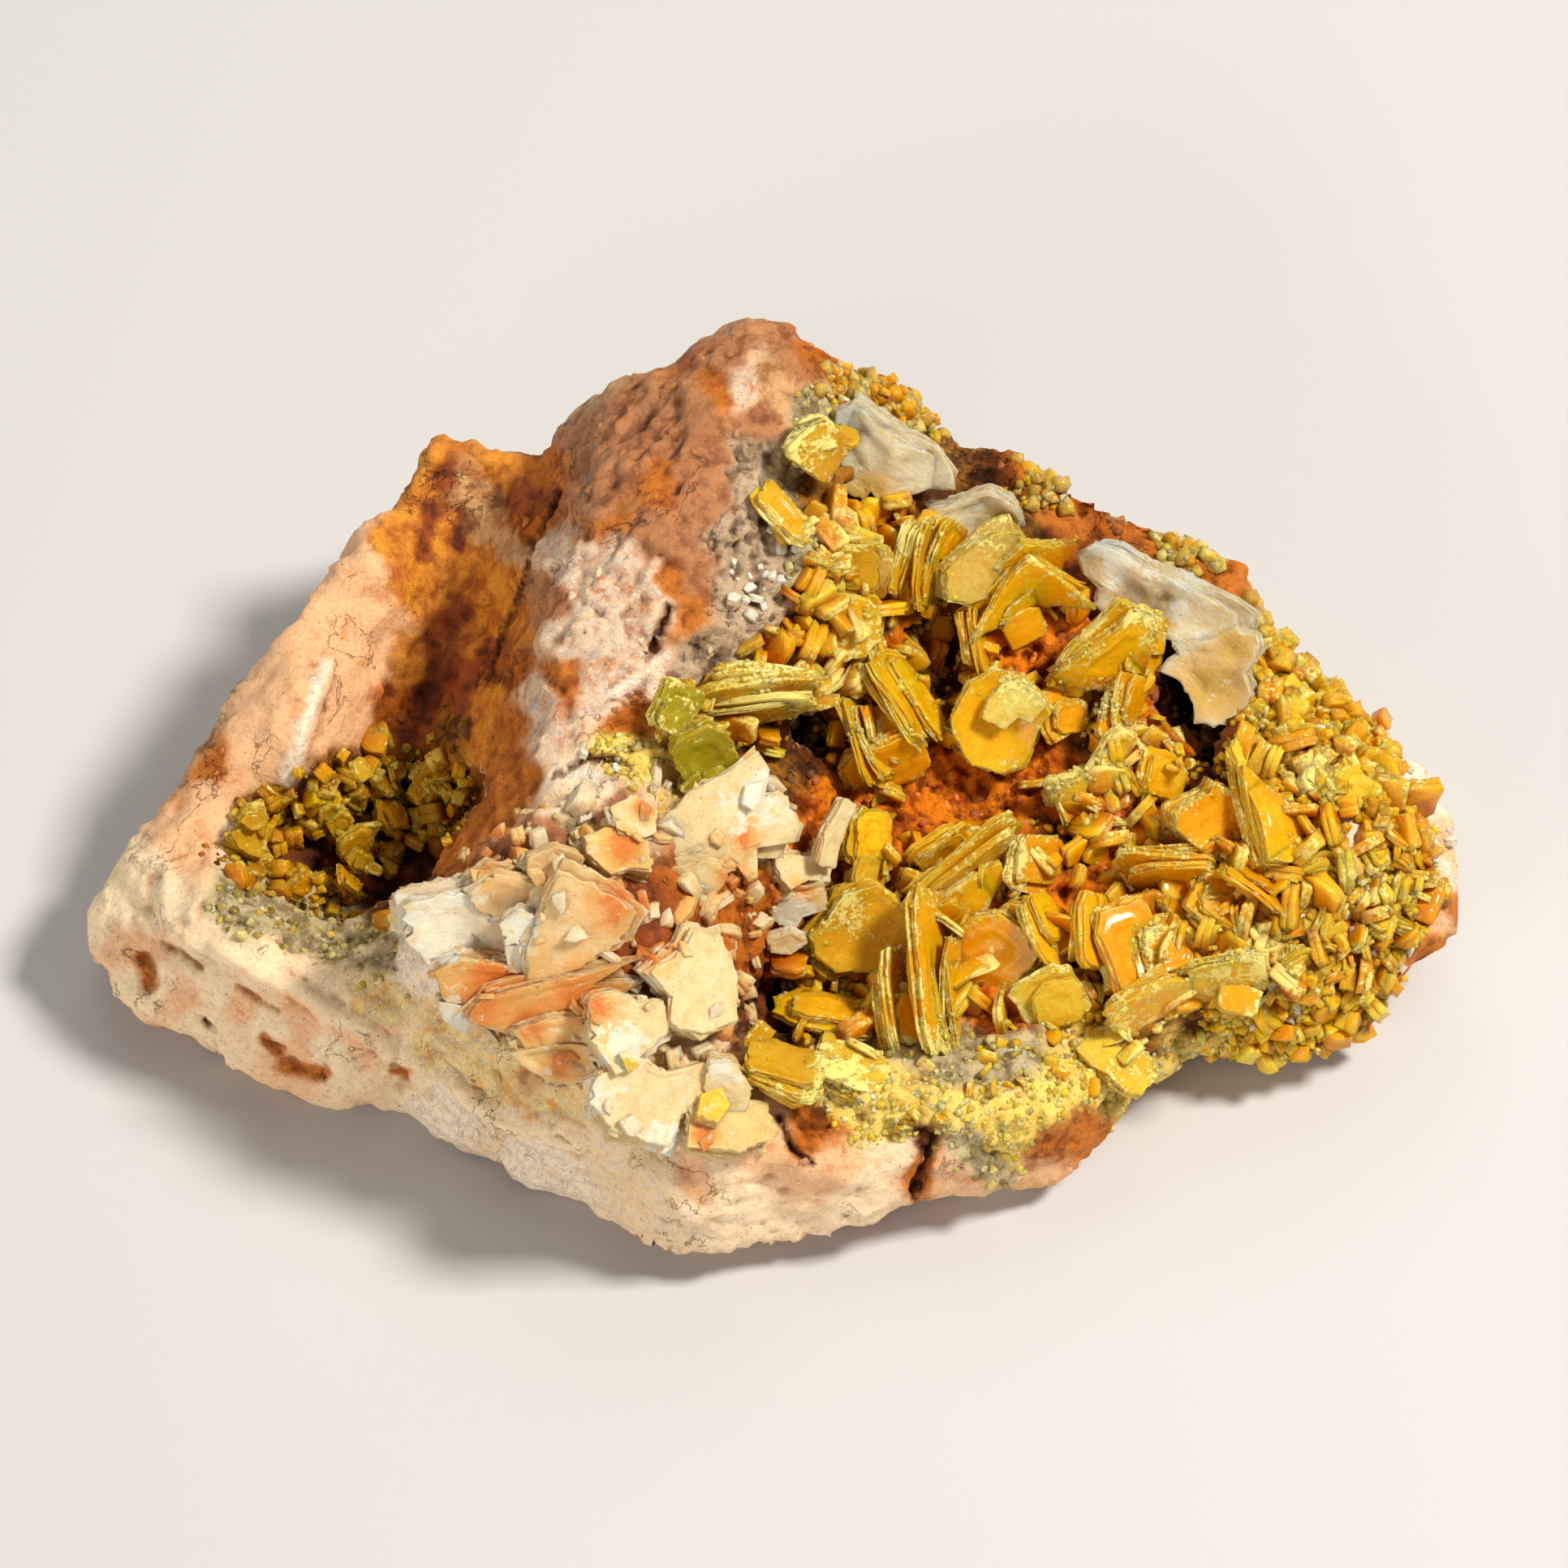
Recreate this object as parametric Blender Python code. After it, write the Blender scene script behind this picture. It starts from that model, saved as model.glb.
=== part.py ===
"""Wulfenite on barite matrix: one loose hand specimen, resting on its broken underside.

Everything is laid out on the display face: x runs across it, y runs up it and z stands out of it, in
millimetres. The last step leans that face back from level and stands the specimen on its resting face.
"""

import math
import random
from collections import namedtuple

import bmesh
import bpy
import numpy as np
from mathutils import Matrix, Vector, noise
from mathutils.bvhtree import BVHTree

MM = 0.001  # metres in a millimetre

# Driving dimensions, in millimetres and degrees.
FACE_LEAN = 35.0  # the display face leans back this far from level
FACE_HEIGHT = 16.5  # centre of the display face above the resting face
BODY_DEPTH = 30.0  # how far the rough body runs back behind its rim, before it is broken off
BODY_CENTRE = (0.5, -1.3)  # the point of the display face that the outline is read round
RIM_DROP = 1.6  # the face rounds over by this much at its outline
RIM_SHARPNESS = 10  # a higher power keeps the rounding nearer the outline
LUMP_SIZE = 6.0  # broad lumps of the broken rock
LUMP_HEIGHT = 0.7
CRAG_SIZE = 7.5  # sharp crests between its hollows
CRAG_HEIGHT = 0.9
LEDGE_START = (-33.6, -8.4)  # the edge that the ledges run along
LEDGE_END = (-4.5, -22.6)
LEDGE_COUNT = 4
LEDGE_WIDTH = 2.1
LEDGE_HEIGHT = 0.8
BREAK_SIZE = 8.0  # roughness of the faces that it is broken off along behind
BREAK_HEIGHT = 0.9
BREAK_EDGE = 2.0  # the roughness sets in over this depth
SPALLS = 18  # flakes broken off its edges behind and below
SPALL_DEPTH = (0.7, 2.2)
SEAT_GAP = 0.35  # clearance between a crust and the rock under it
LINING_DEPTH = 2.2  # the crust's lining starts this far inside the rock, and is then cut back to it
ROCK_DETAIL = 6  # subdivisions of the rough body
ROCK_KEEP = 0.125  # share of its triangles that is kept
CRUST_KEEP = 0.8  # share of a crust's triangles that is kept: the rest are slivers where cuts nearly meet
LINING_CELL = 2.7  # grid spacing of a lining's top
SEED = 7

# The outline of the display face, from the left tip up over the top and back along the bottom.
OUTLINE = [
    (-34.0, -6.8), (-32.8, -4.5), (-31.4, -2.1), (-30.4, 0.2), (-28.7, 3.4), (-26.5, 6.5),
    (-24.9, 8.9), (-24.4, 9.8), (-22.2, 12.0), (-19.6, 14.4), (-19.1, 15.7), (-17.7, 17.2),
    (-15.9, 17.1), (-13.6, 16.3), (-11.6, 15.8), (-10.8, 16.5), (-9.8, 18.3), (-8.7, 19.5),
    (-6.5, 20.0), (-4.2, 21.4), (-2.4, 22.3), (-0.4, 22.6), (1.3, 21.9), (2.5, 21.2),
    (3.3, 21.5), (4.9, 21.0), (6.2, 19.6), (7.2, 17.9), (8.3, 16.4), (10.2, 16.1),
    (11.3, 16.5), (13.1, 15.9), (14.9, 15.7), (16.0, 14.4), (17.4, 13.7), (18.6, 13.5),
    (19.2, 12.2), (20.9, 11.6), (22.5, 10.9), (22.9, 9.6), (23.4, 8.1), (24.5, 6.5),
    (25.6, 5.3), (26.6, 4.5), (28.0, 3.4), (29.0, 2.6), (29.3, 1.7), (30.4, 1.7),
    (31.1, 0.8), (31.9, -0.4), (32.1, -1.5), (33.3, -2.7), (34.0, -4.1), (33.7, -5.8),
    (32.7, -7.0), (31.9, -8.2), (30.4, -9.0), (29.4, -10.5), (28.4, -11.7), (26.4, -12.3),
    (24.5, -13.0), (22.5, -12.9), (19.8, -13.0), (19.1, -13.5), (18.8, -14.3), (17.0, -14.5),
    (16.4, -15.8), (15.1, -17.0), (13.9, -18.4), (12.7, -19.1), (11.1, -19.4), (9.2, -20.0),
    (7.0, -20.2), (5.6, -20.5), (3.7, -21.5), (1.3, -21.8), (-1.0, -22.2), (-3.4, -22.6),
    (-4.5, -22.6), (-6.5, -21.5), (-8.9, -20.9), (-10.4, -19.8), (-12.4, -19.2), (-13.6, -18.0),
    (-15.1, -17.6), (-16.7, -16.6), (-18.3, -16.0), (-18.7, -15.5), (-19.8, -15.2), (-21.0, -15.6),
    (-22.2, -15.8), (-23.8, -15.3), (-24.9, -14.7), (-26.9, -13.5), (-28.5, -12.7), (-30.0, -11.7),
    (-31.8, -10.9), (-32.8, -9.8), (-33.6, -8.4),
]

# Heights of the display face at chosen points: x, y and height. The surface runs smoothly through them.
STATIONS = [
    # edge of the display face, from the left tip up and round
    (-33.6, -6.8, -7.5), (-30.8, -1.3, -9), (-26.5, 5.9, -10.5), (-22.2, 11.4, -11.5), (-17.7, 16.5, -12.5),
    (-14.4, 15.9, -13), (-11.4, 15.2, -12), (-9.5, 18.1, -9), (-4.2, 20.9, -7), (-0.4, 22.1, -6.5),
    (3.3, 21.0, -7.5), (7.0, 17.3, -8.5), (8.8, 15.6, -9.5), (14.3, 15.3, -9.5), (18.4, 12.8, -9),
    (22.3, 10.2, -8.5), (25.3, 4.7, -8), (30.0, 1.0, -7.5), (33.3, -4.1, -7.5), (30.4, -8.4, -6.5),
    (26.8, -11.8, -6), (22.5, -12.5, -5.5), (18.8, -13.7, -4.5), (15.8, -15.8, -3.5), (12.5, -18.8, -2),
    (7.2, -19.8, -0.8), (1.3, -21.3, -0.3), (-4.5, -22.2, 0), (-10.2, -19.5, -1.5), (-14.4, -17.3, -3),
    (-18.7, -15.1, -4.5), (-22.2, -15.4, -5), (-26.9, -13.3, -6), (-31.4, -10.5, -7),
    # left slab, with the sharp white edge where it breaks off
    (-28.1, 0.6, -7.5), (-26.1, 4.5, -8), (-23.4, 8.1, -9), (-20.2, 11.2, -10.5), (-23.2, 4.5, -6.5),
    (-23.8, 1.4, -6.5),
    # stained valley
    (-18.3, 12.8, -14), (-15.9, 10.4, -14.5), (-16.7, 4.5, -14), (-19.5, 2.6, -12.5), (-14.0, 13.6, -13.5),
    (-14.4, 7.3, -14),
    # middle ridge, left flank
    (-12.4, 10.4, -7), (-12.8, 6.5, -6), (-13.6, 2.6, -5), (-14.0, 0.2, -4), (-15.9, -2.9, -2),
    (-17.5, -6.0, -1),
    # middle ridge, crest
    (-0.4, 20.2, -4.5), (-4.5, 18.3, -4), (-8.1, 15.9, -4.5), (-9.6, 13.6, -4), (-6.5, 12.4, -1.5),
    (-8.9, 8.5, -1), (-10.4, 4.5, 0), (-11.2, 0.6, 1.5), (-12.8, -3.3, 2.5),
    # middle ridge, right flank
    (-2.6, 13.6, -1.5), (-1.4, 10.4, -2.5), (-4.5, 7.3, -1.0), (-5.7, 5.7, -1.5), (-7.3, 3.4, 0),
    # left pocket and its lip
    (-24.9, -3.7, -12), (-21.0, -3.3, -14.5), (-17.5, -1.3, -15), (-19.8, 0.2, -14), (-22.2, -6.0, -11),
    (-28.9, -4.5, -5), (-25.3, -6.4, -3.5), (-21.4, -8.4, -2.5), (-18.7, -10.0, -1.5),
    # lower left band
    (-30.0, -7.2, -5), (-26.1, -9.2, -3.5), (-22.2, -11.5, -3), (-18.3, -12.7, -2),
    # swell under the barite
    (-15.9, -7.2, 2.5), (-12.8, -7.2, 4.0), (-10.4, -9.2, 4.2), (-12.8, -11.5, 2.5), (-8.5, -13.1, 3.5),
    (-5.7, -11.1, 3.5), (-3.4, -8.4, 2.0), (-4.2, -3.3, 1.5), (-7.7, -0.5, 1.5), (-1.0, -1.3, -0.5),
    # lower front
    (-10.4, -16.2, 1), (-4.5, -17.0, 3), (-4.5, -19.8, 2), (1.3, -18.2, 2), (7.2, -18.2, 0.5),
    (-0.2, -13.9, 1.5), (5.3, -15.1, 1.5), (11.1, -16.2, 0), (14.3, -15.1, -1.5),
    # floor of the crystal hollow
    (1.3, 2.6, -5.5), (5.3, 6.5, -7), (9.2, 4.5, -8.5), (13.1, 6.5, -8.5), (7.2, 0.2, -7.5),
    (11.1, -1.3, -7.5), (17.0, 2.6, -8.5), (20.2, 2.6, -8.5), (1.3, -4.5, -4.5), (5.3, -5.3, -6),
    (9.2, -7.2, -5.5), (15.1, -5.3, -6), (-0.6, -10.4, -4), (3.3, -11.1, -4.5), (9.2, -11.5, -3.5),
    (15.1, -11.1, -4), (20.2, -7.2, -5),
    # above the hollow
    (3.3, 15.9, -6.5), (1.3, 12.8, -4.5), (7.2, 12.8, -8), (11.1, 12.4, -9), (5.3, 19.1, -7),
    (1.3, 8.1, -4), (17.0, 9.6, -9.5), (20.9, 6.5, -8.5),
    # right shoulder
    (22.9, 2.6, -6.5), (26.8, 0.6, -6), (24.9, -3.3, -5), (28.8, -4.5, -5.5), (24.9, -8.4, -4.8),
    (28.8, -8.4, -6), (22.9, -11.1, -4.5), (31.5, -3.7, -6.5),
]

# Faces that the rock is broken off along behind: a point on each, in the standing frame, and its outward
# direction.
BACK_FACES = [
    ((0, 24.8, 12), (0.05, 1, 0.10)),  # rear
    ((-25, 12.6, 8), (-0.81, 0.58, 0.14)),  # rear left
    ((16, 17.3, 12), (0.35, 0.93, 0.06)),  # rear, towards the right
    ((29, 7.8, 6), (0.74, 0.66, -0.10)),  # rear right
    ((30, -9.0, 2), (0.62, -0.42, -0.66)),  # under the right tip
    ((-31, -6.0, 1.6), (-0.72, -0.22, -0.66)),  # under the left tip
]

Pit = namedtuple("Pit", "x y z half_x half_y half_z turn")
# Cavities that the relief alone can't give, because they run in under their lips.
LEFT_POCKET = Pit(-18.4, -3.2, -8.8, 6.6, 4.4, 4.2, 20)
HOLLOW_PITS = [
    Pit(20.0, 3.4, -9.6, 2.4, 3.6, 3.4, 20),
    Pit(7.6, 6.2, -8.2, 2.6, 3.0, 3.0, 0),
    Pit(0.3, 2.2, -6.4, 2.4, 1.7, 2.6, 15),
    Pit(-0.3, -11.0, -4.4, 1.5, 1.9, 2.6, 0),
    Pit(3.6, 13.7, -7.4, 2.5, 1.1, 2.4, -5),
]

# A flat crystal: where its middle lies, its size, the way its long side runs across the face, how far it is
# turned up on edge, and how far its middle stands off the rock.
Crystal = namedtuple("Crystal", "x y length breadth thickness heading lean lift")

WULFENITE = [Crystal(*row) for row in [
    # top of the hollow
    (6.9, 10.7, 4.1, 3.5, 0.9, 76, 68, 2.0), (6.0, 10.4, 3.5, 3.1, 0.6, 80, 70, 1.5),
    (7.7, 11.4, 2.7, 2.7, 0.6, 72, 60, 1.8), (9.8, 10.9, 3.7, 3.3, 1.0, 50, 35, 2.8),
    (12.9, 9.7, 5.5, 3.9, 0.9, 18, 60, 2.2), (11.6, 8.7, 4.3, 2.7, 0.7, 28, 55, 1.2),
    (9.3, 6.9, 3.1, 2.4, 0.7, 100, 72, 2.0), (3.1, 7.7, 3.5, 3.5, 1.1, 10, 14, 1.6),
    (3.5, 10.8, 3.3, 2.9, 1.0, -10, 25, 1.8), (1.5, 16.5, 2.4, 3.1, 1.0, 60, 40, 1.6),
    (0.1, 12.9, 3.3, 1.6, 0.9, 130, 45, 1.2),
    # middle of the hollow
    (5.8, 4.1, 4.9, 3.3, 0.9, 125, 62, 2.2), (6.4, 4.5, 4.3, 2.4, 0.7, 118, 70, 1.8),
    (3.8, 2.1, 4.1, 2.7, 0.7, 113, 65, 2.0), (5.0, 0.9, 4.1, 2.9, 0.9, 14, 45, 1.4),
    (10.4, 3.1, 4.4, 4.4, 1.3, 8, 14, 2.4), (13.6, 3.4, 2.4, 3.1, 0.9, 100, 35, 1.6),
    (15.6, 6.2, 5.5, 3.3, 1.0, 30, 52, 2.2), (17.5, 6.9, 3.1, 2.5, 0.8, 80, 48, 2.0),
    (16.7, 3.8, 3.1, 2.0, 0.9, 75, 55, 1.8), (15.8, 1.4, 3.1, 2.0, 0.9, 60, 50, 1.8),
    (14.1, -0.2, 2.4, 1.8, 0.9, 20, 40, 1.6), (18.3, 0.5, 2.0, 2.0, 1.2, 80, 30, 1.8),
    # lower left of the hollow
    (3.9, -2.7, 2.7, 2.4, 1.0, 85, 35, 2.0), (3.8, -4.9, 2.4, 2.4, 0.8, 80, 55, 2.0),
    (3.5, -7.1, 4.6, 4.6, 1.2, 45, 22, 2.6), (7.1, -10.3, 8.0, 3.9, 0.9, 100, 68, 2.6),
    (8.0, -10.7, 5.9, 3.1, 0.7, 100, 74, 1.8), (5.1, -10.9, 4.8, 3.1, 0.8, 100, 78, 2.2),
    (6.4, -11.7, 3.5, 3.5, 0.8, 95, 40, 1.2), (2.3, -11.1, 4.4, 2.7, 1.0, 168, 55, 2.0),
    # lower middle of the hollow
    (8.5, -4.1, 6.5, 3.5, 0.9, 38, 72, 2.8), (9.2, -5.5, 4.3, 3.7, 0.8, 30, 35, 1.6),
    (7.5, -3.1, 2.9, 2.4, 0.7, 35, 70, 2.4), (12.0, -3.9, 2.4, 2.7, 0.9, 70, 32, 1.8),
    (10.3, -8.3, 4.4, 4.1, 1.1, -40, 22, 2.2), (11.6, -7.8, 3.1, 2.7, 0.8, -55, 40, 2.0),
    (12.5, -6.7, 3.5, 2.7, 0.9, 118, 58, 2.4), (14.9, -7.2, 3.6, 2.5, 0.9, 99, 62, 2.2),
    (16.7, -7.6, 4.4, 3.1, 1.0, 114, 34, 2.2), (18.6, -8.1, 2.7, 3.1, 0.9, 110, 28, 1.8),
    (13.1, -10.6, 3.1, 3.1, 1.1, 20, 28, 2.0), (17.3, -10.7, 4.4, 2.7, 1.0, 34, 62, 2.0),
    # right shoulder
    (20.9, -1.8, 3.8, 3.7, 1.2, 70, 24, 2.2), (23.9, -1.5, 4.6, 3.3, 1.1, 122, 52, 2.2),
    (18.7, -4.2, 4.5, 3.1, 0.9, 3, 58, 2.0), (22.6, -4.7, 3.1, 2.2, 0.8, 144, 68, 2.0),
    (21.3, -5.8, 2.7, 2.5, 0.9, 140, 30, 1.4), (21.3, -9.3, 4.4, 3.1, 1.0, 10, 48, 2.0),
    (27.4, 0.0, 2.2, 2.0, 1.0, 60, 25, 1.4), (22.5, 1.0, 2.7, 2.4, 0.9, 130, 45, 1.8),
    (25.9, -4.0, 1.8, 1.5, 0.8, 20, 50, 1.4), (28.6, -3.4, 1.7, 1.6, 0.7, 110, 40, 1.4),
    (26.3, -6.9, 1.9, 1.5, 0.8, 70, 55, 1.4), (28.9, -6.7, 1.6, 1.4, 0.8, 150, 35, 1.3),
    (24.9, -8.8, 2.0, 1.5, 0.8, 40, 50, 1.4), (30.3, -4.9, 1.5, 1.4, 0.7, 80, 45, 1.3),
    (25.4, 2.1, 1.7, 1.5, 0.8, 10, 45, 1.3), (29.6, -1.2, 1.6, 1.4, 0.7, 130, 50, 1.3),
    # beside the barite, and along the lower ledge
    (-1.4, 4.7, 6.5, 2.7, 1.0, 8, 62, 2.0), (-1.6, 3.7, 5.9, 2.4, 0.8, 4, 68, 1.6),
    (-4.2, 1.7, 2.7, 2.5, 1.6, 20, 30, 1.6), (-5.4, 3.7, 2.4, 2.2, 1.4, 60, 30, 1.6),
    (-0.2, -13.8, 3.5, 2.4, 1.1, 155, 45, 1.6), (3.5, -13.8, 4.3, 2.7, 1.0, 155, 40, 1.6),
    (16.0, -13.5, 3.5, 2.4, 1.0, 150, 35, 1.2),
]]

BARITE = [Crystal(*row) for row in [
    # the bright sheets nearest the hollow
    (-3.2, -1.7, 5.9, 4.3, 1.4, 60, 30, 2.0), (-1.4, -0.4, 3.5, 2.7, 1.2, 50, 35, 2.6),
    (-4.5, -4.9, 4.3, 2.7, 1.3, 20, 35, 1.8), (-8.1, -2.5, 4.1, 2.4, 1.3, 165, 40, 1.6),
    (0.7, -4.3, 3.5, 2.4, 1.0, 105, 45, 2.0), (1.5, -2.7, 3.9, 2.0, 0.8, 70, 65, 2.4),
    (-0.2, -5.6, 3.1, 1.6, 0.9, 155, 45, 1.8), (0.4, -7.2, 3.5, 1.8, 1.0, 20, 45, 1.8),
    # the upright blocks below them
    (-3.8, -10.2, 4.7, 3.7, 1.5, 85, 28, 2.4), (-7.5, -10.7, 3.1, 2.9, 1.4, 80, 30, 2.2),
    (-6.5, -13.7, 4.3, 3.9, 1.5, 75, 28, 2.0), (-3.8, -14.9, 3.9, 3.1, 1.4, 20, 35, 1.6),
    (-2.0, -16.6, 4.7, 3.5, 1.4, 140, 30, 1.2),
    # the fan that opens to the left
    (-10.2, -7.0, 6.7, 3.5, 1.6, 12, 40, 2.6), (-14.4, -4.1, 5.1, 2.7, 1.4, 15, 40, 2.0),
    (-12.8, -9.8, 7.5, 2.7, 1.5, 10, 50, 2.2), (-15.9, -7.8, 4.3, 3.1, 1.5, 5, 35, 2.0),
    (-10.8, -12.5, 6.3, 2.4, 1.3, 5, 60, 1.6), (-12.6, -11.1, 5.5, 2.4, 1.2, 8, 60, 2.0),
    (-17.1, -6.8, 2.0, 2.4, 1.2, 90, 30, 1.6),
]]

PALE_PLATES = {
    "pale_plate_top": Crystal(4.7, 16.2, 7.1, 3.3, 1.0, -12, 30, 1.4),
    "pale_plate_middle": Crystal(9.4, 13.1, 4.9, 2.7, 0.9, 12, 35, 1.3),
    "pale_plate_right": Crystal(18.4, 9.1, 7.1, 3.9, 1.1, -38, 28, 1.5),
    "pale_plate_edge": Crystal(21.4, 4.2, 4.3, 3.2, 1.1, -50, 25, 1.2),
}

POCKET_CRYSTALS = [Crystal(*row) for row in [
    (-26.1, -2.1, 2.4, 2.4, 1.4, 70, 25, 1.6), (-21.0, -4.1, 2.7, 2.7, 1.3, 40, 30, 1.8),
    (-22.2, -1.7, 2.0, 2.0, 1.0, 20, 40, 1.5), (-19.5, -1.7, 2.0, 1.8, 1.0, 110, 45, 1.5),
    (-23.8, -4.9, 1.8, 1.8, 1.0, 60, 50, 1.5), (-17.5, 0.2, 2.0, 1.8, 0.9, 30, 40, 1.2),
]]

# Where each lining lies on the display face, and how thick it is there.
HOLLOW_ZONE = [
    (-1.4, 10.4), (0.5, 13.6), (2.9, 12.8), (5.6, 13.6), (8.4, 12.0), (11.5, 11.2),
    (14.3, 10.4), (17.0, 8.1), (20.2, 4.9), (23.3, 4.2), (25.6, 3.4), (28.4, 1.8),
    (30.5, 0.6), (31.7, -1.3), (32.3, -3.7), (31.1, -6.8), (28.8, -9.6), (26.4, -11.1),
    (23.3, -11.7), (19.8, -11.9), (18.2, -13.1), (15.5, -15.5), (13.1, -17.4), (9.2, -17.8),
    (4.5, -17.0), (1.3, -15.8), (-0.8, -13.9), (-0.4, -11.9), (-1.0, -9.2), (0.2, -7.2),
    (2.7, -5.3), (2.5, -2.1), (2.1, 0.6), (-0.2, 1.4), (-2.6, 0.6), (-5.7, 1.4),
    (-6.9, 3.8), (-5.3, 4.9), (-2.6, 6.5),
]
BARITE_ZONE = [
    (-17.2, -5.6), (-15.4, -3.5), (-12.8, -1.3), (-9.6, 0.2), (-7.3, 0.6), (-4.5, 0.0),
    (-2.6, 0.0), (-0.6, 0.2), (1.5, -1.7), (1.9, -4.9), (-0.6, -6.8), (-1.6, -9.2),
    (-1.4, -11.5), (-1.6, -14.3), (-1.4, -17.0), (-4.2, -18.6), (-7.3, -17.0), (-9.6, -14.7),
    (-12.8, -13.5), (-15.5, -11.3), (-16.9, -8.8),
]
POCKET_ZONE = [
    (-28.1, -3.3), (-26.5, -0.7), (-23.8, 0.6), (-20.2, 1.8), (-16.7, 1.8), (-15.1, 0.2),
    (-15.9, -2.1), (-17.5, -4.5), (-18.7, -7.2), (-21.0, -6.8), (-24.2, -5.6), (-26.5, -4.9),
]
HOLLOW_LINING = 1.3
BARITE_LINING = 1.2
POCKET_LINING = 1.4
DRUSE_BUMP = 0.5  # unevenness of a lining's top, as its smallest crystals make it


# ---------------------------------------------------------------- helpers

def clear_scene():
    for obj in list(bpy.data.objects):
        bpy.data.objects.remove(obj)


def link(name, bm):
    """The bmesh as a new object of that name."""
    mesh = bpy.data.meshes.new(name)
    bm.to_mesh(mesh)
    bm.free()
    obj = bpy.data.objects.new(name, mesh)
    bpy.context.scene.collection.objects.link(obj)
    return obj


def thin_out(obj, share):
    """Keeps this share of the object's triangles, those that hold its shape."""
    modifier = obj.modifiers.new("Thin", "DECIMATE")
    modifier.ratio = share
    apply_modifiers(obj)


def apply_modifiers(obj):
    """The object's evaluated mesh becomes its own."""
    graph = bpy.context.evaluated_depsgraph_get()
    graph.update()
    mesh = bpy.data.meshes.new_from_object(obj.evaluated_get(graph))
    obj.modifiers.clear()
    obj.data = mesh


def boolean(obj, other, operation, solver="EXACT"):
    """Joins or cuts obj with other, and removes other."""
    modifier = obj.modifiers.new(operation.title(), "BOOLEAN")
    modifier.operation = operation
    modifier.solver = solver
    modifier.object = other
    apply_modifiers(obj)
    bpy.data.objects.remove(other)


def keep_largest_island(obj):
    """Drops crumbs that a cut has parted from the piece."""
    bm = bmesh.new()
    bm.from_mesh(obj.data)
    bmesh.ops.triangulate(bm, faces=bm.faces)
    unseen = set(bm.faces)
    islands = []
    while unseen:
        stack = [unseen.pop()]
        island = []
        while stack:
            face = stack.pop()
            island.append(face)
            for edge in face.edges:
                for near in edge.link_faces:
                    if near in unseen:
                        unseen.remove(near)
                        stack.append(near)
        islands.append(island)
    islands.sort(key=len, reverse=True)
    crumbs = [face for island in islands[1:] for face in island]
    bmesh.ops.delete(bm, geom=crumbs, context="FACES")
    bm.to_mesh(obj.data)
    bm.free()
    print(f"{obj.name}: {len(islands[0])} faces kept, {len(crumbs)} faces of crumbs dropped")


def material(name, colour, roughness):
    made = bpy.data.materials.new(name)
    made.use_nodes = True
    shader = made.node_tree.nodes["Principled BSDF"]
    shader.inputs["Base Color"].default_value = (*colour, 1)
    shader.inputs["Roughness"].default_value = roughness
    shader.inputs["Metallic"].default_value = 0
    return made


def lumps(x, y, z, size, octaves=3):
    """Smooth unevenness from -1 to 1, with features of about this size."""
    return noise.fractal(Vector((x, y, z)) / size, 0.9, 2.1, octaves)


def crags(x, y, z):
    """Sharp-crested unevenness, about as much above nothing as below it."""
    return noise.ridged_multi_fractal(Vector((x, y, z)) / CRAG_SIZE, 1.0, 2.0, 2, 0.9, 1.4) - 0.9


def ledges(x, y):
    """Steps where the bedding comes out along the lower left edge, and nothing elsewhere."""
    run = Vector(LEDGE_END) - Vector(LEDGE_START)
    inward = Vector((-run.y, run.x)).normalized()
    away = (Vector((x, y)) - Vector(LEDGE_START)).dot(inward) + 0.8 * lumps(x, y, 0, 9)
    if not 0 < away < LEDGE_COUNT * LEDGE_WIDTH or x > LEDGE_END[0]:
        return 0
    step = away / LEDGE_WIDTH % 1
    return LEDGE_HEIGHT * (step if step < 0.8 else 4 * (1 - step))


def standing_frame():
    """From the display face to the standing specimen, both in millimetres."""
    lean = Matrix.Rotation(math.radians(FACE_LEAN), 4, "X")
    return Matrix.Translation((0, 0, FACE_HEIGHT)) @ lean


# ---------------------------------------------------------------- the rock

def outline_radius(angles):
    """Distance from BODY_CENTRE to the outline at each angle."""
    around = np.array(OUTLINE) - BODY_CENTRE
    angle = np.arctan2(around[:, 1], around[:, 0])
    order = np.argsort(angle)
    return np.interp(angles, angle[order], np.hypot(*around[order].T), period=2 * math.pi)


def relief(points):
    """Height of the display face at each x, y: a surface through STATIONS, from their distances."""
    stations = np.array(STATIONS, float)
    known = stations[:, :2]
    between = np.linalg.norm(known[:, None] - known[None], axis=2)
    weights = np.linalg.solve(between, stations[:, 2])
    away = np.linalg.norm(np.asarray(points, float)[:, None] - known[None], axis=2)
    return away @ weights


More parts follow.
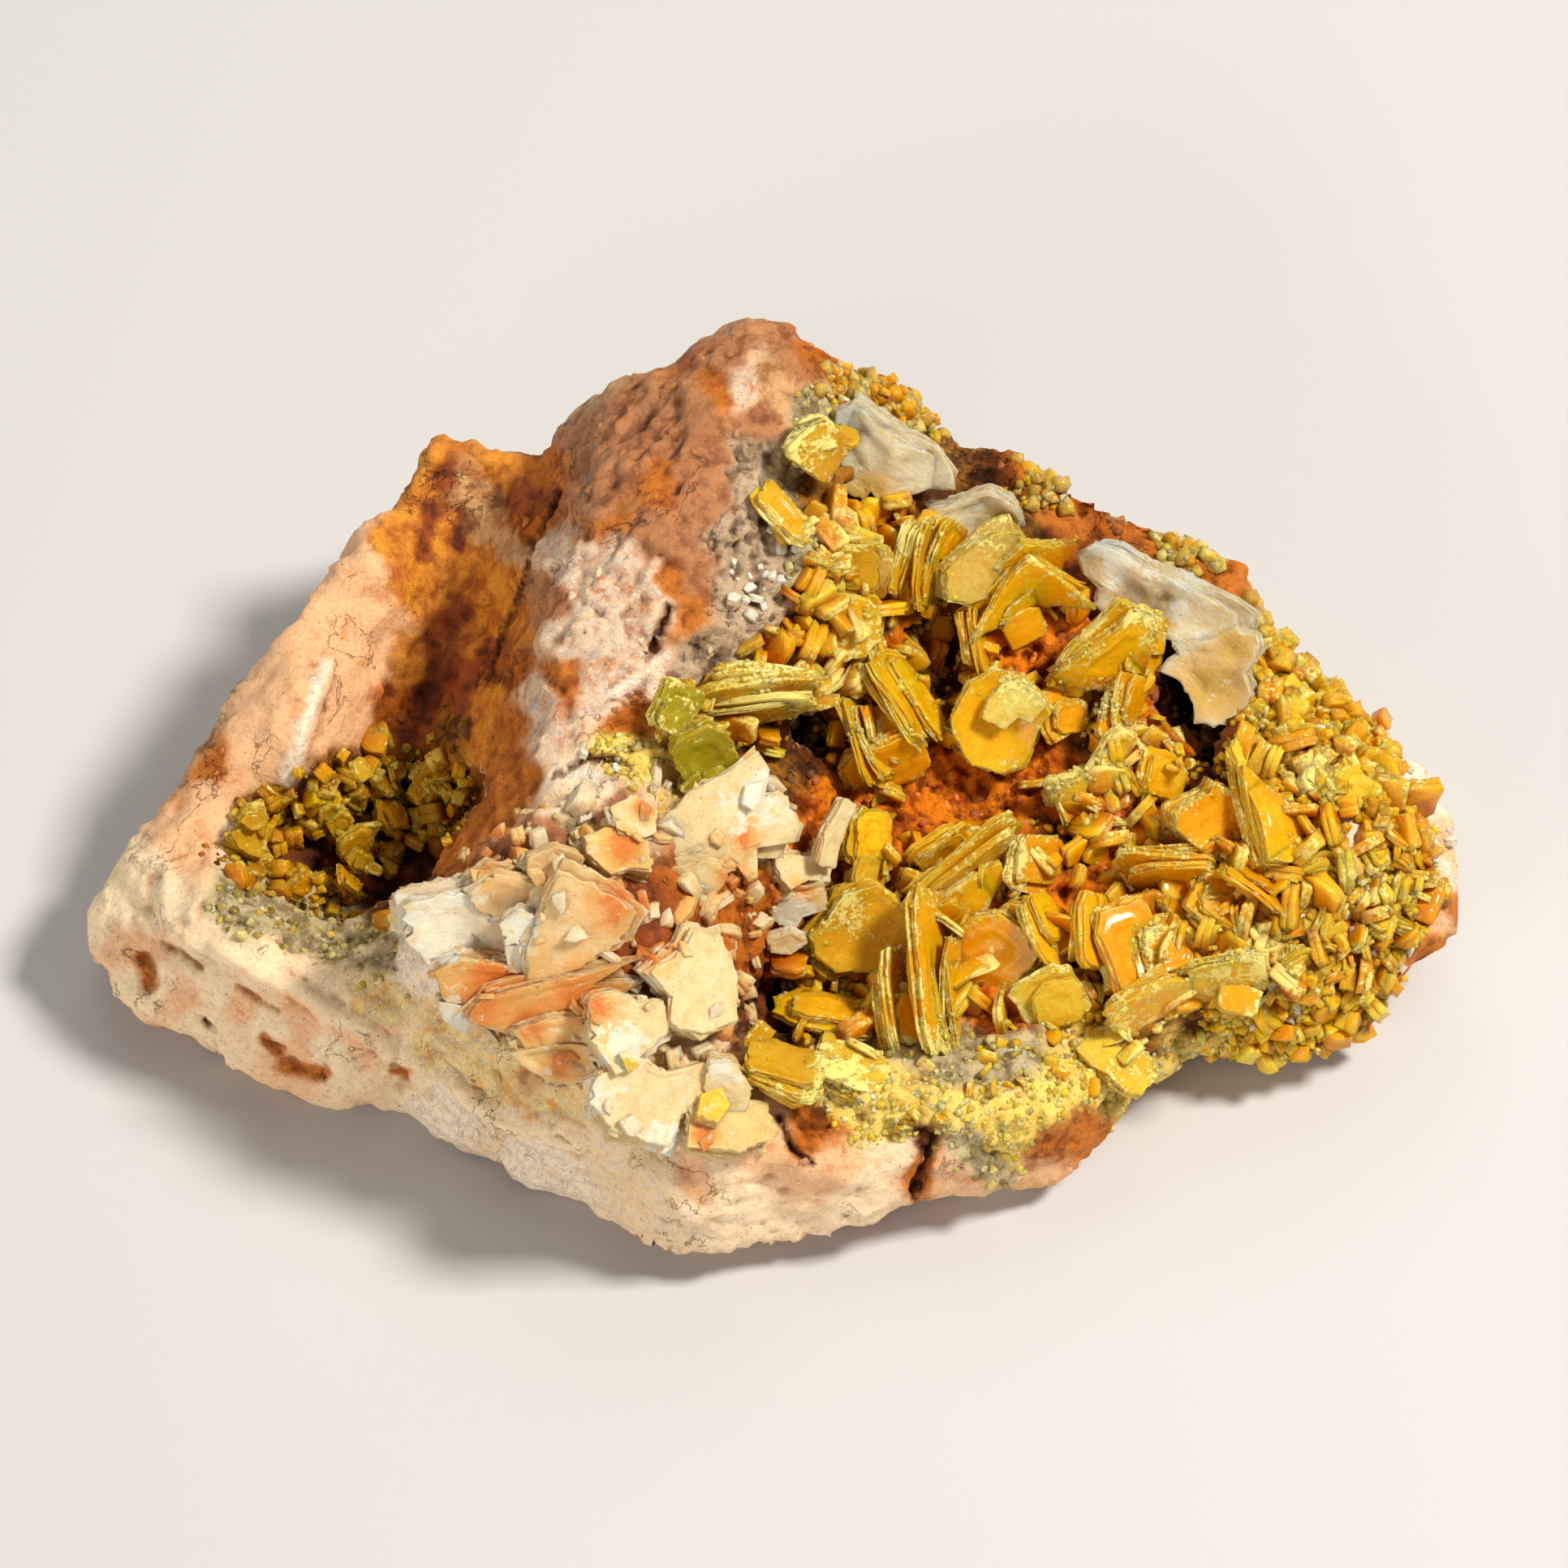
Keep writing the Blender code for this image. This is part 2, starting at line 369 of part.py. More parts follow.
def rough_body():
    """The rock before it is cut level: a ball whose front follows the relief, out to the outline, broken off behind."""
    bm = bmesh.new()
    bmesh.ops.create_icosphere(bm, subdivisions=ROCK_DETAIL, radius=1)
    ball = np.array([v.co for v in bm.verts])
    out = np.hypot(ball[:, 0], ball[:, 1]).clip(0, 1)
    radius = outline_radius(np.arctan2(ball[:, 1], ball[:, 0]))
    spread = np.where(out > 1e-9, radius / np.maximum(out, 1e-9), 0)[:, None]
    flat = np.array(BODY_CENTRE) + ball[:, :2] * spread * out[:, None]
    front = relief(flat) - RIM_DROP * (1 - np.sqrt(1 - out**RIM_SHARPNESS))
    rim = np.array(BODY_CENTRE) + ball[:, :2] / np.maximum(out, 1e-9)[:, None] * radius[:, None]
    back = relief(rim) - RIM_DROP - BODY_DEPTH * np.abs(ball[:, 2])
    for vert, (x, y), high, low in zip(bm.verts, flat, front, back):
        z = high if vert.co.z >= 0 else low
        shift = LUMP_HEIGHT * lumps(x, y, z, LUMP_SIZE) + CRAG_HEIGHT * crags(x, y, z) + ledges(x, y)
        inward = min(1, max(0, (x - BODY_CENTRE[0]) ** 2 + (y - BODY_CENTRE[1]) ** 2) / 400)
        side = Vector((x - BODY_CENTRE[0], y - BODY_CENTRE[1], 0)).normalized() * inward * 0.5
        vert.co = Vector((x, y, z)) + shift * (Vector((0, 0, 1)) - side if vert.co.z >= 0 else side)
    bmesh.ops.transform(bm, matrix=standing_frame(), verts=bm.verts)
    points = np.array([v.co for v in bm.verts])
    break_back(points)
    for vert, point in zip(bm.verts, points):
        vert.co = point
    bmesh.ops.transform(bm, matrix=standing_frame().inverted(), verts=bm.verts)
    return bm


def break_along(points, point, normal):
    """Brings what lies beyond a face back to it, and leaves the face as rough as broken rock."""
    normal = np.array(normal) / np.linalg.norm(normal)
    beyond = (points - point) @ normal
    for index in np.flatnonzero(beyond > 0):
        points[index] -= beyond[index] * normal
        rough = BREAK_HEIGHT * (lumps(*points[index], BREAK_SIZE) + crags(*points[index]))
        points[index] += min(1, beyond[index] / BREAK_EDGE) * rough * normal


def break_back(points):
    """Breaks the body off behind, and flakes off the edges that face away from the display face.

    Nothing that faces the same way as the display face is touched, which leaves its outline as it is.
    """
    for point, normal in BACK_FACES:
        break_along(points, point, normal)
    rng = random.Random(SEED)
    outward = standing_frame().to_3x3() @ Vector((0, 0, 1))
    taken = 0
    while taken < SPALLS:
        turn, rise = rng.uniform(0, 2 * math.pi), rng.uniform(-1.0, 0.5)
        normal = Vector((math.cos(turn) * math.cos(rise), math.sin(turn) * math.cos(rise), math.sin(rise)))
        if normal.dot(outward) > -0.25:
            continue
        furthest = (points @ np.array(normal)).max() - rng.uniform(*SPALL_DEPTH)
        break_along(points, normal * furthest, normal)
        taken += 1


def cut_resting_face(bm):
    """Cuts the rock off level, and closes it with the flat face that it stands on."""
    bmesh.ops.transform(bm, matrix=standing_frame(), verts=bm.verts)
    cut = bmesh.ops.bisect_plane(
        bm, geom=bm.verts[:] + bm.edges[:] + bm.faces[:], plane_co=(0, 0, 0), plane_no=(0, 0, -1), clear_outer=True)
    edges = [e for e in cut["geom_cut"] if isinstance(e, bmesh.types.BMEdge)]
    bmesh.ops.holes_fill(bm, edges=edges, sides=0)
    bmesh.ops.triangulate(bm, faces=bm.faces)
    bmesh.ops.transform(bm, matrix=standing_frame().inverted(), verts=bm.verts)


def pit_cutter(pit, grow=0.0):
    bm = bmesh.new()
    bmesh.ops.create_icosphere(bm, subdivisions=3 if pit.half_x > 4 else 2, radius=1)
    turn = Matrix.Rotation(math.radians(pit.turn), 3, "Z")
    for vert in bm.verts:
        unit = vert.co.normalized()
        swell = 1 + 0.13 * lumps(*(unit * 2.2 + Vector((pit.x, pit.y, 0))), 1.3)
        sized = Vector((unit.x * (pit.half_x + grow), unit.y * (pit.half_y + grow), unit.z * (pit.half_z + grow)))
        vert.co = Vector((pit.x, pit.y, pit.z)) + turn @ (sized * swell)
    return link("pit_cutter", bm)


def matrix_rock():
    """The host rock, and a copy without its pits, which the crusts are cut back to."""
    rock = link("matrix_rock", rough_body())
    thin_out(rock, ROCK_KEEP)
    bm = bmesh.new()
    bm.from_mesh(rock.data)
    cut_resting_face(bm)
    bm.to_mesh(rock.data)
    bm.free()
    unpitted = rock.copy()
    unpitted.data = rock.data.copy()
    unpitted.name = "unpitted_rock"
    bpy.context.scene.collection.objects.link(unpitted)
    for pit in [LEFT_POCKET, *HOLLOW_PITS]:
        boolean(rock, pit_cutter(pit), "DIFFERENCE")
    keep_largest_island(rock)
    return rock, unpitted


# ---------------------------------------------------------------- crystals on the rock

def floor_finder(rock):
    """A function that gives the height of the rock's front at x, y."""
    bm = bmesh.new()
    bm.from_mesh(rock.data)
    tree = BVHTree.FromBMesh(bm)
    bm.free()

    def floor(x, y):
        hit = tree.ray_cast(Vector((x, y, 60)), Vector((0, 0, -1)))[0]
        return hit.z if hit else None

    return floor


def crystal_frame(crystal, height):
    """Places a crystal modelled flat at the origin, its long side along X."""
    turn = Matrix.Rotation(math.radians(crystal.heading), 4, "Z")
    lean = Matrix.Rotation(math.radians(crystal.lean), 4, "X")
    return Matrix.Translation((crystal.x, crystal.y, height)) @ turn @ lean


def add_prism(bm, corners, thickness, place):
    """A flat crystal with this outline, added to bm."""
    low = [bm.verts.new(place @ Vector((x, y, -thickness / 2))) for x, y in corners]
    made = bm.faces.new(low)
    raised = bmesh.ops.extrude_face_region(bm, geom=[made])["geom"]
    up = place.to_3x3() @ Vector((0, 0, thickness))
    bmesh.ops.translate(bm, vec=up, verts=[v for v in raised if isinstance(v, bmesh.types.BMVert)])
    made.normal_flip()


def truncated_square(length, breadth, cut):
    """The outline of a tabular wulfenite crystal: a square with its corners cut off."""
    a, b, c = length / 2, breadth / 2, cut * min(length, breadth)
    return [(a, b - c), (a - c, b), (c - a, b), (-a, b - c), (-a, c - b), (c - a, -b), (a - c, -b), (a, c - b)]


def broken_sheet(length, breadth, rng, ends=0.32):
    """The outline of a cleaved sheet: a long plate with stepped, broken ends."""
    a, b = length / 2, breadth / 2
    right = [(a * rng.uniform(1 - ends, 1), b * s) for s in (-1, -0.35, 0.3, 1)]
    left = [(-a * rng.uniform(1 - ends, 1), b * s) for s in (1, 0.4, -0.3, -1)]
    return right + [(0.2 * a, b * rng.uniform(0.85, 1.1))] + left + [(-0.1 * a, -b * rng.uniform(0.85, 1.1))]


def lining(zone, floor, thickness, cell=LINING_CELL):
    """The layer of smallest crystals that a crust's larger ones stand on: a slab over the zone that follows the rock."""
    xs, ys = [x for x, y in zone], [y for x, y in zone]
    columns = math.ceil((max(xs) - min(xs)) / cell) + 2
    rows = math.ceil((max(ys) - min(ys)) / cell) + 2
    bm = bmesh.new()
    bmesh.ops.create_grid(bm, x_segments=columns, y_segments=rows, size=0.5)
    middle = Vector(((max(xs) + min(xs)) / 2, (max(ys) + min(ys)) / 2, 0))
    bmesh.ops.scale(bm, vec=((columns * cell), (rows * cell), 1), verts=bm.verts)
    bmesh.ops.translate(bm, vec=middle, verts=bm.verts)
    last = -8.0
    for vert in bm.verts:
        found = floor(vert.co.x, vert.co.y)
        last = last if found is None else found
        vert.co.z = last - LINING_DEPTH
    top = bmesh.ops.extrude_face_region(bm, geom=bm.faces[:])["geom"]
    for vert in top:
        if isinstance(vert, bmesh.types.BMVert):
            bump = DRUSE_BUMP * lumps(vert.co.x, vert.co.y, 0, 1.7, 2)
            vert.co.z += LINING_DEPTH + thickness + bump
    bmesh.ops.recalc_face_normals(bm, faces=bm.faces)
    slab = link("lining", bm)
    bm = bmesh.new()
    face = bm.faces.new([bm.verts.new((x, y, -40)) for x, y in zone])
    raised = bmesh.ops.extrude_face_region(bm, geom=[face])["geom"]
    bmesh.ops.translate(bm, vec=(0, 0, 80), verts=[v for v in raised if isinstance(v, bmesh.types.BMVert)])
    bmesh.ops.recalc_face_normals(bm, faces=bm.faces)
    boolean(slab, link("zone", bm), "INTERSECT", "MANIFOLD")
    return slab


def crystals_on(crystals, floor, outline, grow=0.0):
    """Each crystal as a closed prism on the rock. grow makes it larger, for a cutter that leaves a gap."""
    for crystal in crystals:
        bm = bmesh.new()
        height = floor(crystal.x, crystal.y) + crystal.lift
        add_prism(bm, outline(crystal, grow), crystal.thickness + 2 * grow, crystal_frame(crystal, height))
        bmesh.ops.recalc_face_normals(bm, faces=bm.faces)
        yield link("crystal", bm)


def wulfenite_outline(crystal, grow=0.0):
    return truncated_square(crystal.length + 2 * grow, crystal.breadth + 2 * grow, 0.24)


def barite_outline(crystal, grow=0.0):
    rng = random.Random(f"{SEED} {crystal.x} {crystal.y}")
    return broken_sheet(crystal.length + 2 * grow, crystal.breadth + 2 * grow, rng)


def seat(rock, pits=()):
    """A copy of the rock moved out of its own face by the seat gap, which cuts a crust to sit just clear of it."""
    copy = rock.copy()
    copy.data = rock.data.copy()
    copy.data.transform(Matrix.Translation((0, 0, SEAT_GAP)))
    bpy.context.scene.collection.objects.link(copy)
    for pit in pits:
        boolean(copy, pit_cutter(pit, -SEAT_GAP), "DIFFERENCE")
    return copy


def crust(name, crystals, zone, thickness, outline, floor, cutters, pits=()):
    """A lining and its crystals as one solid, cut back to what it grew on.

    Linings and crystals meet at many shallow angles, where the exact solver loses pieces, so their joins and cuts
    use the manifold one.
    """
    piece = lining(zone, floor, thickness)
    for pit in pits:
        boolean(piece, pit_cutter(pit, SEAT_GAP), "DIFFERENCE", "MANIFOLD")
    for crystal in crystals_on(crystals, floor, outline):
        boolean(piece, crystal, "UNION", "MANIFOLD")
    for cutter in cutters:
        boolean(piece, cutter, "DIFFERENCE", "MANIFOLD")
    keep_largest_island(piece)
    thin_out(piece, CRUST_KEEP)
    piece.name = name
    return piece


def pale_plate(name, crystal, floor, seat):
    [piece] = crystals_on([crystal], floor, barite_outline)
    boolean(piece, seat, "DIFFERENCE")
    keep_largest_island(piece)
    piece.name = name
    return piece


# ---------------------------------------------------------------- the specimen

def stand_up(pieces):
    """Hangs the pieces on an empty that leans the display face back, with the origin under the middle of the specimen."""
    frame = standing_frame()
    corners = np.array([frame @ v.co for piece in pieces for v in piece.data.vertices])
    low, high = corners.min(0), corners.max(0)
    face = bpy.data.objects.new("display_face", None)
    bpy.context.scene.collection.objects.link(face)
    middle = (low + high) / 2
    face.location = (Vector((-middle[0], -middle[1], FACE_HEIGHT - low[2]))) * MM
    face.rotation_euler = (math.radians(FACE_LEAN), 0, 0)
    for piece in pieces:
        piece.data.transform(Matrix.Scale(MM, 4))
        piece.parent = face
    print("display face at", [round(c / MM, 4) for c in face.location], "mm; size", (high - low).round(3))


def main():
    clear_scene()
    rock, unpitted = matrix_rock()
    floor = floor_finder(unpitted)
    pocket_floor = floor_finder(rock)

    barite = crust("barite_blades", BARITE, BARITE_ZONE, BARITE_LINING, barite_outline, floor, [seat(unpitted)])
    plates = [pale_plate(name, plate, floor, seat(unpitted)) for name, plate in PALE_PLATES.items()]
    neighbours = [
        seat(unpitted),
        lining(BARITE_ZONE, floor, BARITE_LINING + SEAT_GAP),
        *crystals_on(BARITE, floor, barite_outline, SEAT_GAP),
        *crystals_on(PALE_PLATES.values(), floor, barite_outline, SEAT_GAP),
    ]
    hollow = crust(
        "wulfenite_crust", WULFENITE, HOLLOW_ZONE, HOLLOW_LINING, wulfenite_outline, floor, neighbours, HOLLOW_PITS)
    pocket = crust(
        "left_pocket_crust", POCKET_CRYSTALS, POCKET_ZONE, POCKET_LINING, wulfenite_outline, pocket_floor,
        [seat(unpitted, [LEFT_POCKET])])
    bpy.data.objects.remove(unpitted)

    stone = material("orange_stained_matrix", (0.62, 0.36, 0.20), 0.75)
    honey = material("honey_wulfenite", (0.80, 0.52, 0.06), 0.25)
    olive = material("olive_wulfenite", (0.42, 0.36, 0.10), 0.35)
    cream = material("cream_barite", (0.90, 0.68, 0.48), 0.45)
    pale = material("pale_barite", (0.74, 0.68, 0.58), 0.3)
    finishes = {rock: stone, barite: cream, hollow: honey, pocket: olive, **{plate: pale for plate in plates}}
    for piece, finish in finishes.items():
        piece.data.materials.clear()
        piece.data.materials.append(finish)
    stand_up(finishes)


main()
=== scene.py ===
# %% [markdown]
# # A wulfenite specimen
# The specimen is a palm-sized lump of broken barite rock, stained orange by iron. A hollow in its face is lined
# with thin, honey-yellow plates of wulfenite, and a fan of cream barite blades stands beside the hollow.
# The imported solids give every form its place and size. This lesson dresses them: it roughens the rock, paints its
# stains, and grows each crystal as a stack of thin sheets.

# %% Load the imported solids
import math
import random
from collections import namedtuple

import bmesh
import bpy
import numpy as np
from mathutils import Matrix, Vector


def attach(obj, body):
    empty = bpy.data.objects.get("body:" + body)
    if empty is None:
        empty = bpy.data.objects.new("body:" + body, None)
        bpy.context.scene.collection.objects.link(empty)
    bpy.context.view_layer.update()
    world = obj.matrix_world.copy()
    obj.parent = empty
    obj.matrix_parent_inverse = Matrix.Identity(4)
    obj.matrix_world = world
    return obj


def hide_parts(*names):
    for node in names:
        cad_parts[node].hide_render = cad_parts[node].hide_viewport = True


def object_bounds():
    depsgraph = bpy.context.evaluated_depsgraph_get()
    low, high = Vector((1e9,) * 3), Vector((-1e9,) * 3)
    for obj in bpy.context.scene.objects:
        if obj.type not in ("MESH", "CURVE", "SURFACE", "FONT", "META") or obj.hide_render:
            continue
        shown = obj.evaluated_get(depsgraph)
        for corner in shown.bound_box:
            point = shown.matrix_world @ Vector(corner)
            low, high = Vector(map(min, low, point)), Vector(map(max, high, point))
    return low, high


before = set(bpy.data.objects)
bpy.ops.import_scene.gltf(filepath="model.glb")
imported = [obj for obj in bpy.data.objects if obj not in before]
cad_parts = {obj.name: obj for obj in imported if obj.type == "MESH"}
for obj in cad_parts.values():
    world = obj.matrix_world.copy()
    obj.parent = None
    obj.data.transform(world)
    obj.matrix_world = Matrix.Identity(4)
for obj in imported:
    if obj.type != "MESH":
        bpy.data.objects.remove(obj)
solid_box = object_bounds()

MM = 0.001
SEED = 11
TURN = 2 * math.pi
print("the solids fill", solid_box)

# %% [markdown]
# ## The display face
# A collector lays this specimen down and looks at it from in front and above, square on to the face with the
# crystals. So every place on it is easiest to give on that face: x across it, y up it and z out of it, in
# millimetres. One matrix takes those numbers to the standing specimen.

# %% The display face's frame
FACE_LEAN = math.radians(35)
FACE_MIDDLE = Vector((0.569, -4.2068, 16.5))
FACE = Matrix.Translation(FACE_MIDDLE * MM) @ Matrix.Rotation(FACE_LEAN, 4, "X") @ Matrix.Scale(MM, 4)
FACE_TO_WORLD = np.array(FACE)
WORLD_TO_FACE = np.array(FACE.inverted())
FACE_OUT = np.array((0, -math.sin(FACE_LEAN), math.cos(FACE_LEAN)))


def to_world(points):
    """Points on the display face, in millimetres, as places in the room, in metres."""
    return points @ FACE_TO_WORLD[:3, :3].T + FACE_TO_WORLD[:3, 3]


def to_face(points):
    return points @ WORLD_TO_FACE[:3, :3].T + WORLD_TO_FACE[:3, 3]


print("the face's middle lies at", [round(value, 2) for value in FACE_MIDDLE], "mm")

# %% [markdown]
# ## Camera, floor and light
# A long lens from 60 cm keeps the crystals' proportions true, as a close-up of a mineral wants. The floor is plain
# and pale. The key light is a soft panel at the upper right behind the specimen, so that it rakes across the
# plates and throws their shadows to the lower left; a weaker panel on the left opens the shadows.

# %% Camera
CAMERA_AWAY = 0.6
FOCAL_LENGTH = 285
SENSOR_WIDTH = 36
camera_data = bpy.data.cameras.new("view")
camera_data.lens = FOCAL_LENGTH
camera_data.sensor_width = SENSOR_WIDTH
camera = bpy.data.objects.new("view", camera_data)
camera.location = FACE_MIDDLE * MM + Vector(FACE_OUT) * CAMERA_AWAY
camera.rotation_euler = (FACE_LEAN, 0, 0)
bpy.context.scene.collection.objects.link(camera)
bpy.context.scene.camera = camera
print("the frame is", round(CAMERA_AWAY * SENSOR_WIDTH / FOCAL_LENGTH / MM, 1), "mm wide at the face")

# %% Lights
LIT_POINT = Vector((0, 0, 0.012))
# Each soft panel's place, size, power and colour.
PANELS = {
    "key_panel": ((0.30, 0.0, 0.44), 0.10, 3.5, (1.0, 0.96, 0.90)),
    "fill_panel": ((-0.34, -0.46, 0.20), 0.35, 1.9, (1.0, 0.97, 0.94)),
    "top_panel": ((-0.05, 0.35, 0.5), 0.4, 0.7, (1.0, 1.0, 1.0)),
}
for name, (place, size, power, colour) in PANELS.items():
    light = bpy.data.lights.new(name, "AREA")
    light.size = size
    light.energy = power
    light.color = colour
    panel = bpy.data.objects.new(name, light)
    panel.location = place
    panel.rotation_euler = (LIT_POINT - Vector(place)).to_track_quat("-Z", "Y").to_euler()
    bpy.context.scene.collection.objects.link(panel)
world = bpy.data.worlds.new("studio")
world.use_nodes = True
air = world.node_tree.nodes["Background"].inputs
air["Color"].default_value = (0.95, 0.93, 0.90, 1)
air["Strength"].default_value = 0.20
bpy.context.scene.world = world
bpy.context.scene.view_settings.view_transform = "Standard"
print(len(PANELS), "soft panels")


# %% [markdown]
# ## Finishes as node trees
# A material is a small tree of nodes. A helper that adds a node, sets its sockets and links its inputs keeps each
# tree readable: every finish below is then a list of what feeds what.

# %% Node helpers
class Finish:
    """A new material, and a short way to add nodes to it. A value is a number or colour to set, or a socket to link."""

    def __init__(self, name):
        self.material = bpy.data.materials.new(name)
        self.material.use_nodes = True
        self.tree = self.material.node_tree
        self.shader = self.tree.nodes["Principled BSDF"]

    def feed(self, node, key, value):
        socket = node.inputs[key]
        if isinstance(value, bpy.types.NodeSocket):
            self.tree.links.new(value, socket)
        else:
            socket.default_value = (*value, 1) if socket.type == "RGBA" else value

    def add(self, kind, inputs, output, **settings):
        """The output of a new node of this kind."""
        node = self.tree.nodes.new("ShaderNode" + kind)
        for key, value in settings.items():
            setattr(node, key, value)
        for key, value in inputs.items():
            self.feed(node, key, value)
        return node.outputs[output]

    def attribute(self, name, output="Fac"):
        return self.add("Attribute", {}, output, attribute_name=name)

    def noise(self, size_mm, detail=3.0, roughness=0.55, distortion=0.0, place=None, stretch=None):
        """Noise with features of about this size, on the piece's own coordinates or on a place value."""
        place = place or self.add("TexCoord", {}, "Object")
        if stretch:
            place = self.add("Mapping", {"Vector": place, "Scale": stretch}, "Vector")
        return self.add("TexNoise", {
            "Vector": place, "Scale": 1 / (size_mm * MM), "Detail": detail, "Roughness": roughness,
            "Distortion": distortion}, "Fac")

    def maths(self, operation, first, second=0.5):
        return self.add("Math", {0: first, 1: second}, 0, operation=operation)

    def total(self, *parts):
        """The sum of values, each with its factor."""
        first, *others = [self.maths("MULTIPLY", value, factor) for value, factor in parts]
        for other in others:
            first = self.maths("ADD", first, other)
        return first

    def from_middle(self, noise):
        """How far a noise is from its middle value."""
        return self.maths("ABSOLUTE", self.maths("SUBTRACT", noise, 0.5))

    def between(self, value, low, high, to_low=0.0, to_high=1.0):
        """value brought from the range low..high to the range to_low..to_high, and kept within it."""
        return self.add("MapRange", {
            "Value": value, "From Min": low, "From Max": high, "To Min": to_low, "To Max": to_high},
            "Result", interpolation_type="SMOOTHSTEP")

    def mix(self, share, first, second, blend="MIX"):
        """One colour into another, by share."""
        return self.add("Mix", {0: share, 6: first, 7: second}, 2, data_type="RGBA", blend_type=blend)

    def laid(self, colour, over, value, low, high, most=1.0):
        """A second colour over the first, from none where value is low to the most where it is high."""
        return self.mix(self.between(value, low, high, 0.0, most), colour, over)

    def times(self, colour, *factors):
        """A colour with its red, green and blue multiplied."""
        return self.mix(1.0, colour, factors, "MULTIPLY")

    def bump(self, height, depth_mm, strength=1.0, after=None):
        inputs = {"Height": height, "Distance": depth_mm * MM, "Strength": strength}
        return self.add("Bump", inputs | ({"Normal": after} if after else {}), "Normal")

    def set(self, **sockets):
        for key, value in sockets.items():
            self.feed(self.shader, key.replace("_", " "), value)


def srgb(red, green, blue):
    """A colour given 0 to 255 a channel, as the linear colour that a shader wants."""
    return tuple((c / 255 / 12.92) if c <= 10 else ((c / 255 + 0.055) / 1.055) ** 2.4 for c in (red, green, blue))


print("middle grey is", round(srgb(128, 128, 128)[0], 3), "as a linear value")


# %% New objects
def link(name, bm):
    """A new object from a bmesh."""
    mesh = bpy.data.meshes.new(name)
    bm.to_mesh(mesh)
    bm.free()
    obj = bpy.data.objects.new(name, mesh)
    bpy.context.scene.collection.objects.link(obj)
    return obj


# %% Floor
FLOOR_SIZE = 4.0
bm = bmesh.new()
bmesh.ops.create_grid(bm, x_segments=1, y_segments=1, size=FLOOR_SIZE / 2)
floor = link("floor", bm)
paper = Finish("pale_paper")
paper.set(Base_Color=srgb(200, 198, 195), Roughness=0.8)
floor.data.materials.append(paper.material)
print("floor", FLOOR_SIZE, "m square")

# %% [markdown]
# ## Noise on many points at once
# Broken rock is rough at every scale. Lattice noise gives each corner of a grid a random number and blends between
# the corners; adding finer and finer layers gives fractal roughness. Written with numpy it takes hundreds of
# thousands of points at once. Cell noise, the distance to the nearest of scattered seeds, gives pits and pores.

# %% Noise
LAYER_STEP = 2.03  # how much finer each layer of noise is, not quite a whole number so that the grids never line up


def corner_value(cells, seed):
    """A number from 0 to 1 for each whole-numbered cell, always the same for the same cell and seed."""
    x, y, z = (cells[..., k].astype(np.int64) for k in range(3))
    mixed = x * 73856093 ^ y * 19349663 ^ z * 83492791 ^ (seed * 2654435761)  # large primes, to scatter near cells
    mixed = (mixed ^ (mixed >> 13)) * 1274126177 & 0xFFFFFFFF
    mixed = (mixed ^ (mixed >> 16)) * 2246822519 & 0xFFFFFFFF
    return ((mixed ^ (mixed >> 15)) & 0xFFFFFF) / 0xFFFFFF


def lattice_noise(points, size, seed=0):
    """Smooth noise from -1 to 1 with lumps of about this size."""
    scaled = points / size
    cell = np.floor(scaled)
    part = scaled - cell
    part = part * part * (3 - 2 * part)
    total = 0
    for corner in np.ndindex(2, 2, 2):
        share = np.prod(np.where(corner, part, 1 - part), axis=1)
        total = total + share * corner_value(cell + corner, seed)
    return total * 2 - 1


def layered_noise(points, size, octaves=4, gain=0.5, seed=0, shape=lambda noise: noise):
    """Noise in ever finer and weaker layers, from about -1 to 1."""
    layers = range(octaves)
    total = sum(gain**i * shape(lattice_noise(points, size / LAYER_STEP**i, seed + 31 * i)) for i in layers)
    return total / sum(gain**i for i in layers)


def crested_noise(points, size, octaves=3, gain=0.5, seed=0):
    """Noise with sharp crests, from 0 in its hollows to 1 on its crests."""
    return layered_noise(points, size, octaves, gain, seed, lambda noise: 1 - np.abs(noise))


def pore_noise(points, size, seed=0):
    """Distance to the nearest scattered seed, in cells: near 0 in a pore and about 1 between pores."""
    scaled = points / size
    cell = np.floor(scaled)
    nearest = np.full(len(points), 9.0)
    for corner in np.ndindex(3, 3, 3):
        home = cell + np.array(corner) - 1
        heart = home + np.stack([corner_value(home, seed + k) for k in (1, 2, 3)], axis=1)
        nearest = np.minimum(nearest, ((scaled - heart) ** 2).sum(axis=1))
    return np.sqrt(nearest)


def ease(values, low, high):
    """0 below low, 1 above high and a smooth step between."""
    t = np.clip((values - low) / (high - low), 0, 1)
    return t * t * (3 - 2 * t)


sample = layered_noise(np.random.default_rng(SEED).random((1000, 3)) * 9, 1.0)
print("layered noise runs from", sample.min().round(2), "to", sample.max().round(2), "in a sample")

# %% [markdown]
# ## What the rock is made of, and where
# The rock isn't one colour. Peach and cream barite shows where it is broken; iron has stained it orange and rust in
# the valleys, and the hollow's floor is spongy limonite. Each kind of ground gets a name, two colours, how much the
# second covers the first, and how rough it is. Spots scattered over the face say which kind lies where, and each
# point of the rock mixes the kinds of its nearest spots, with the distances warped so that borders are ragged.

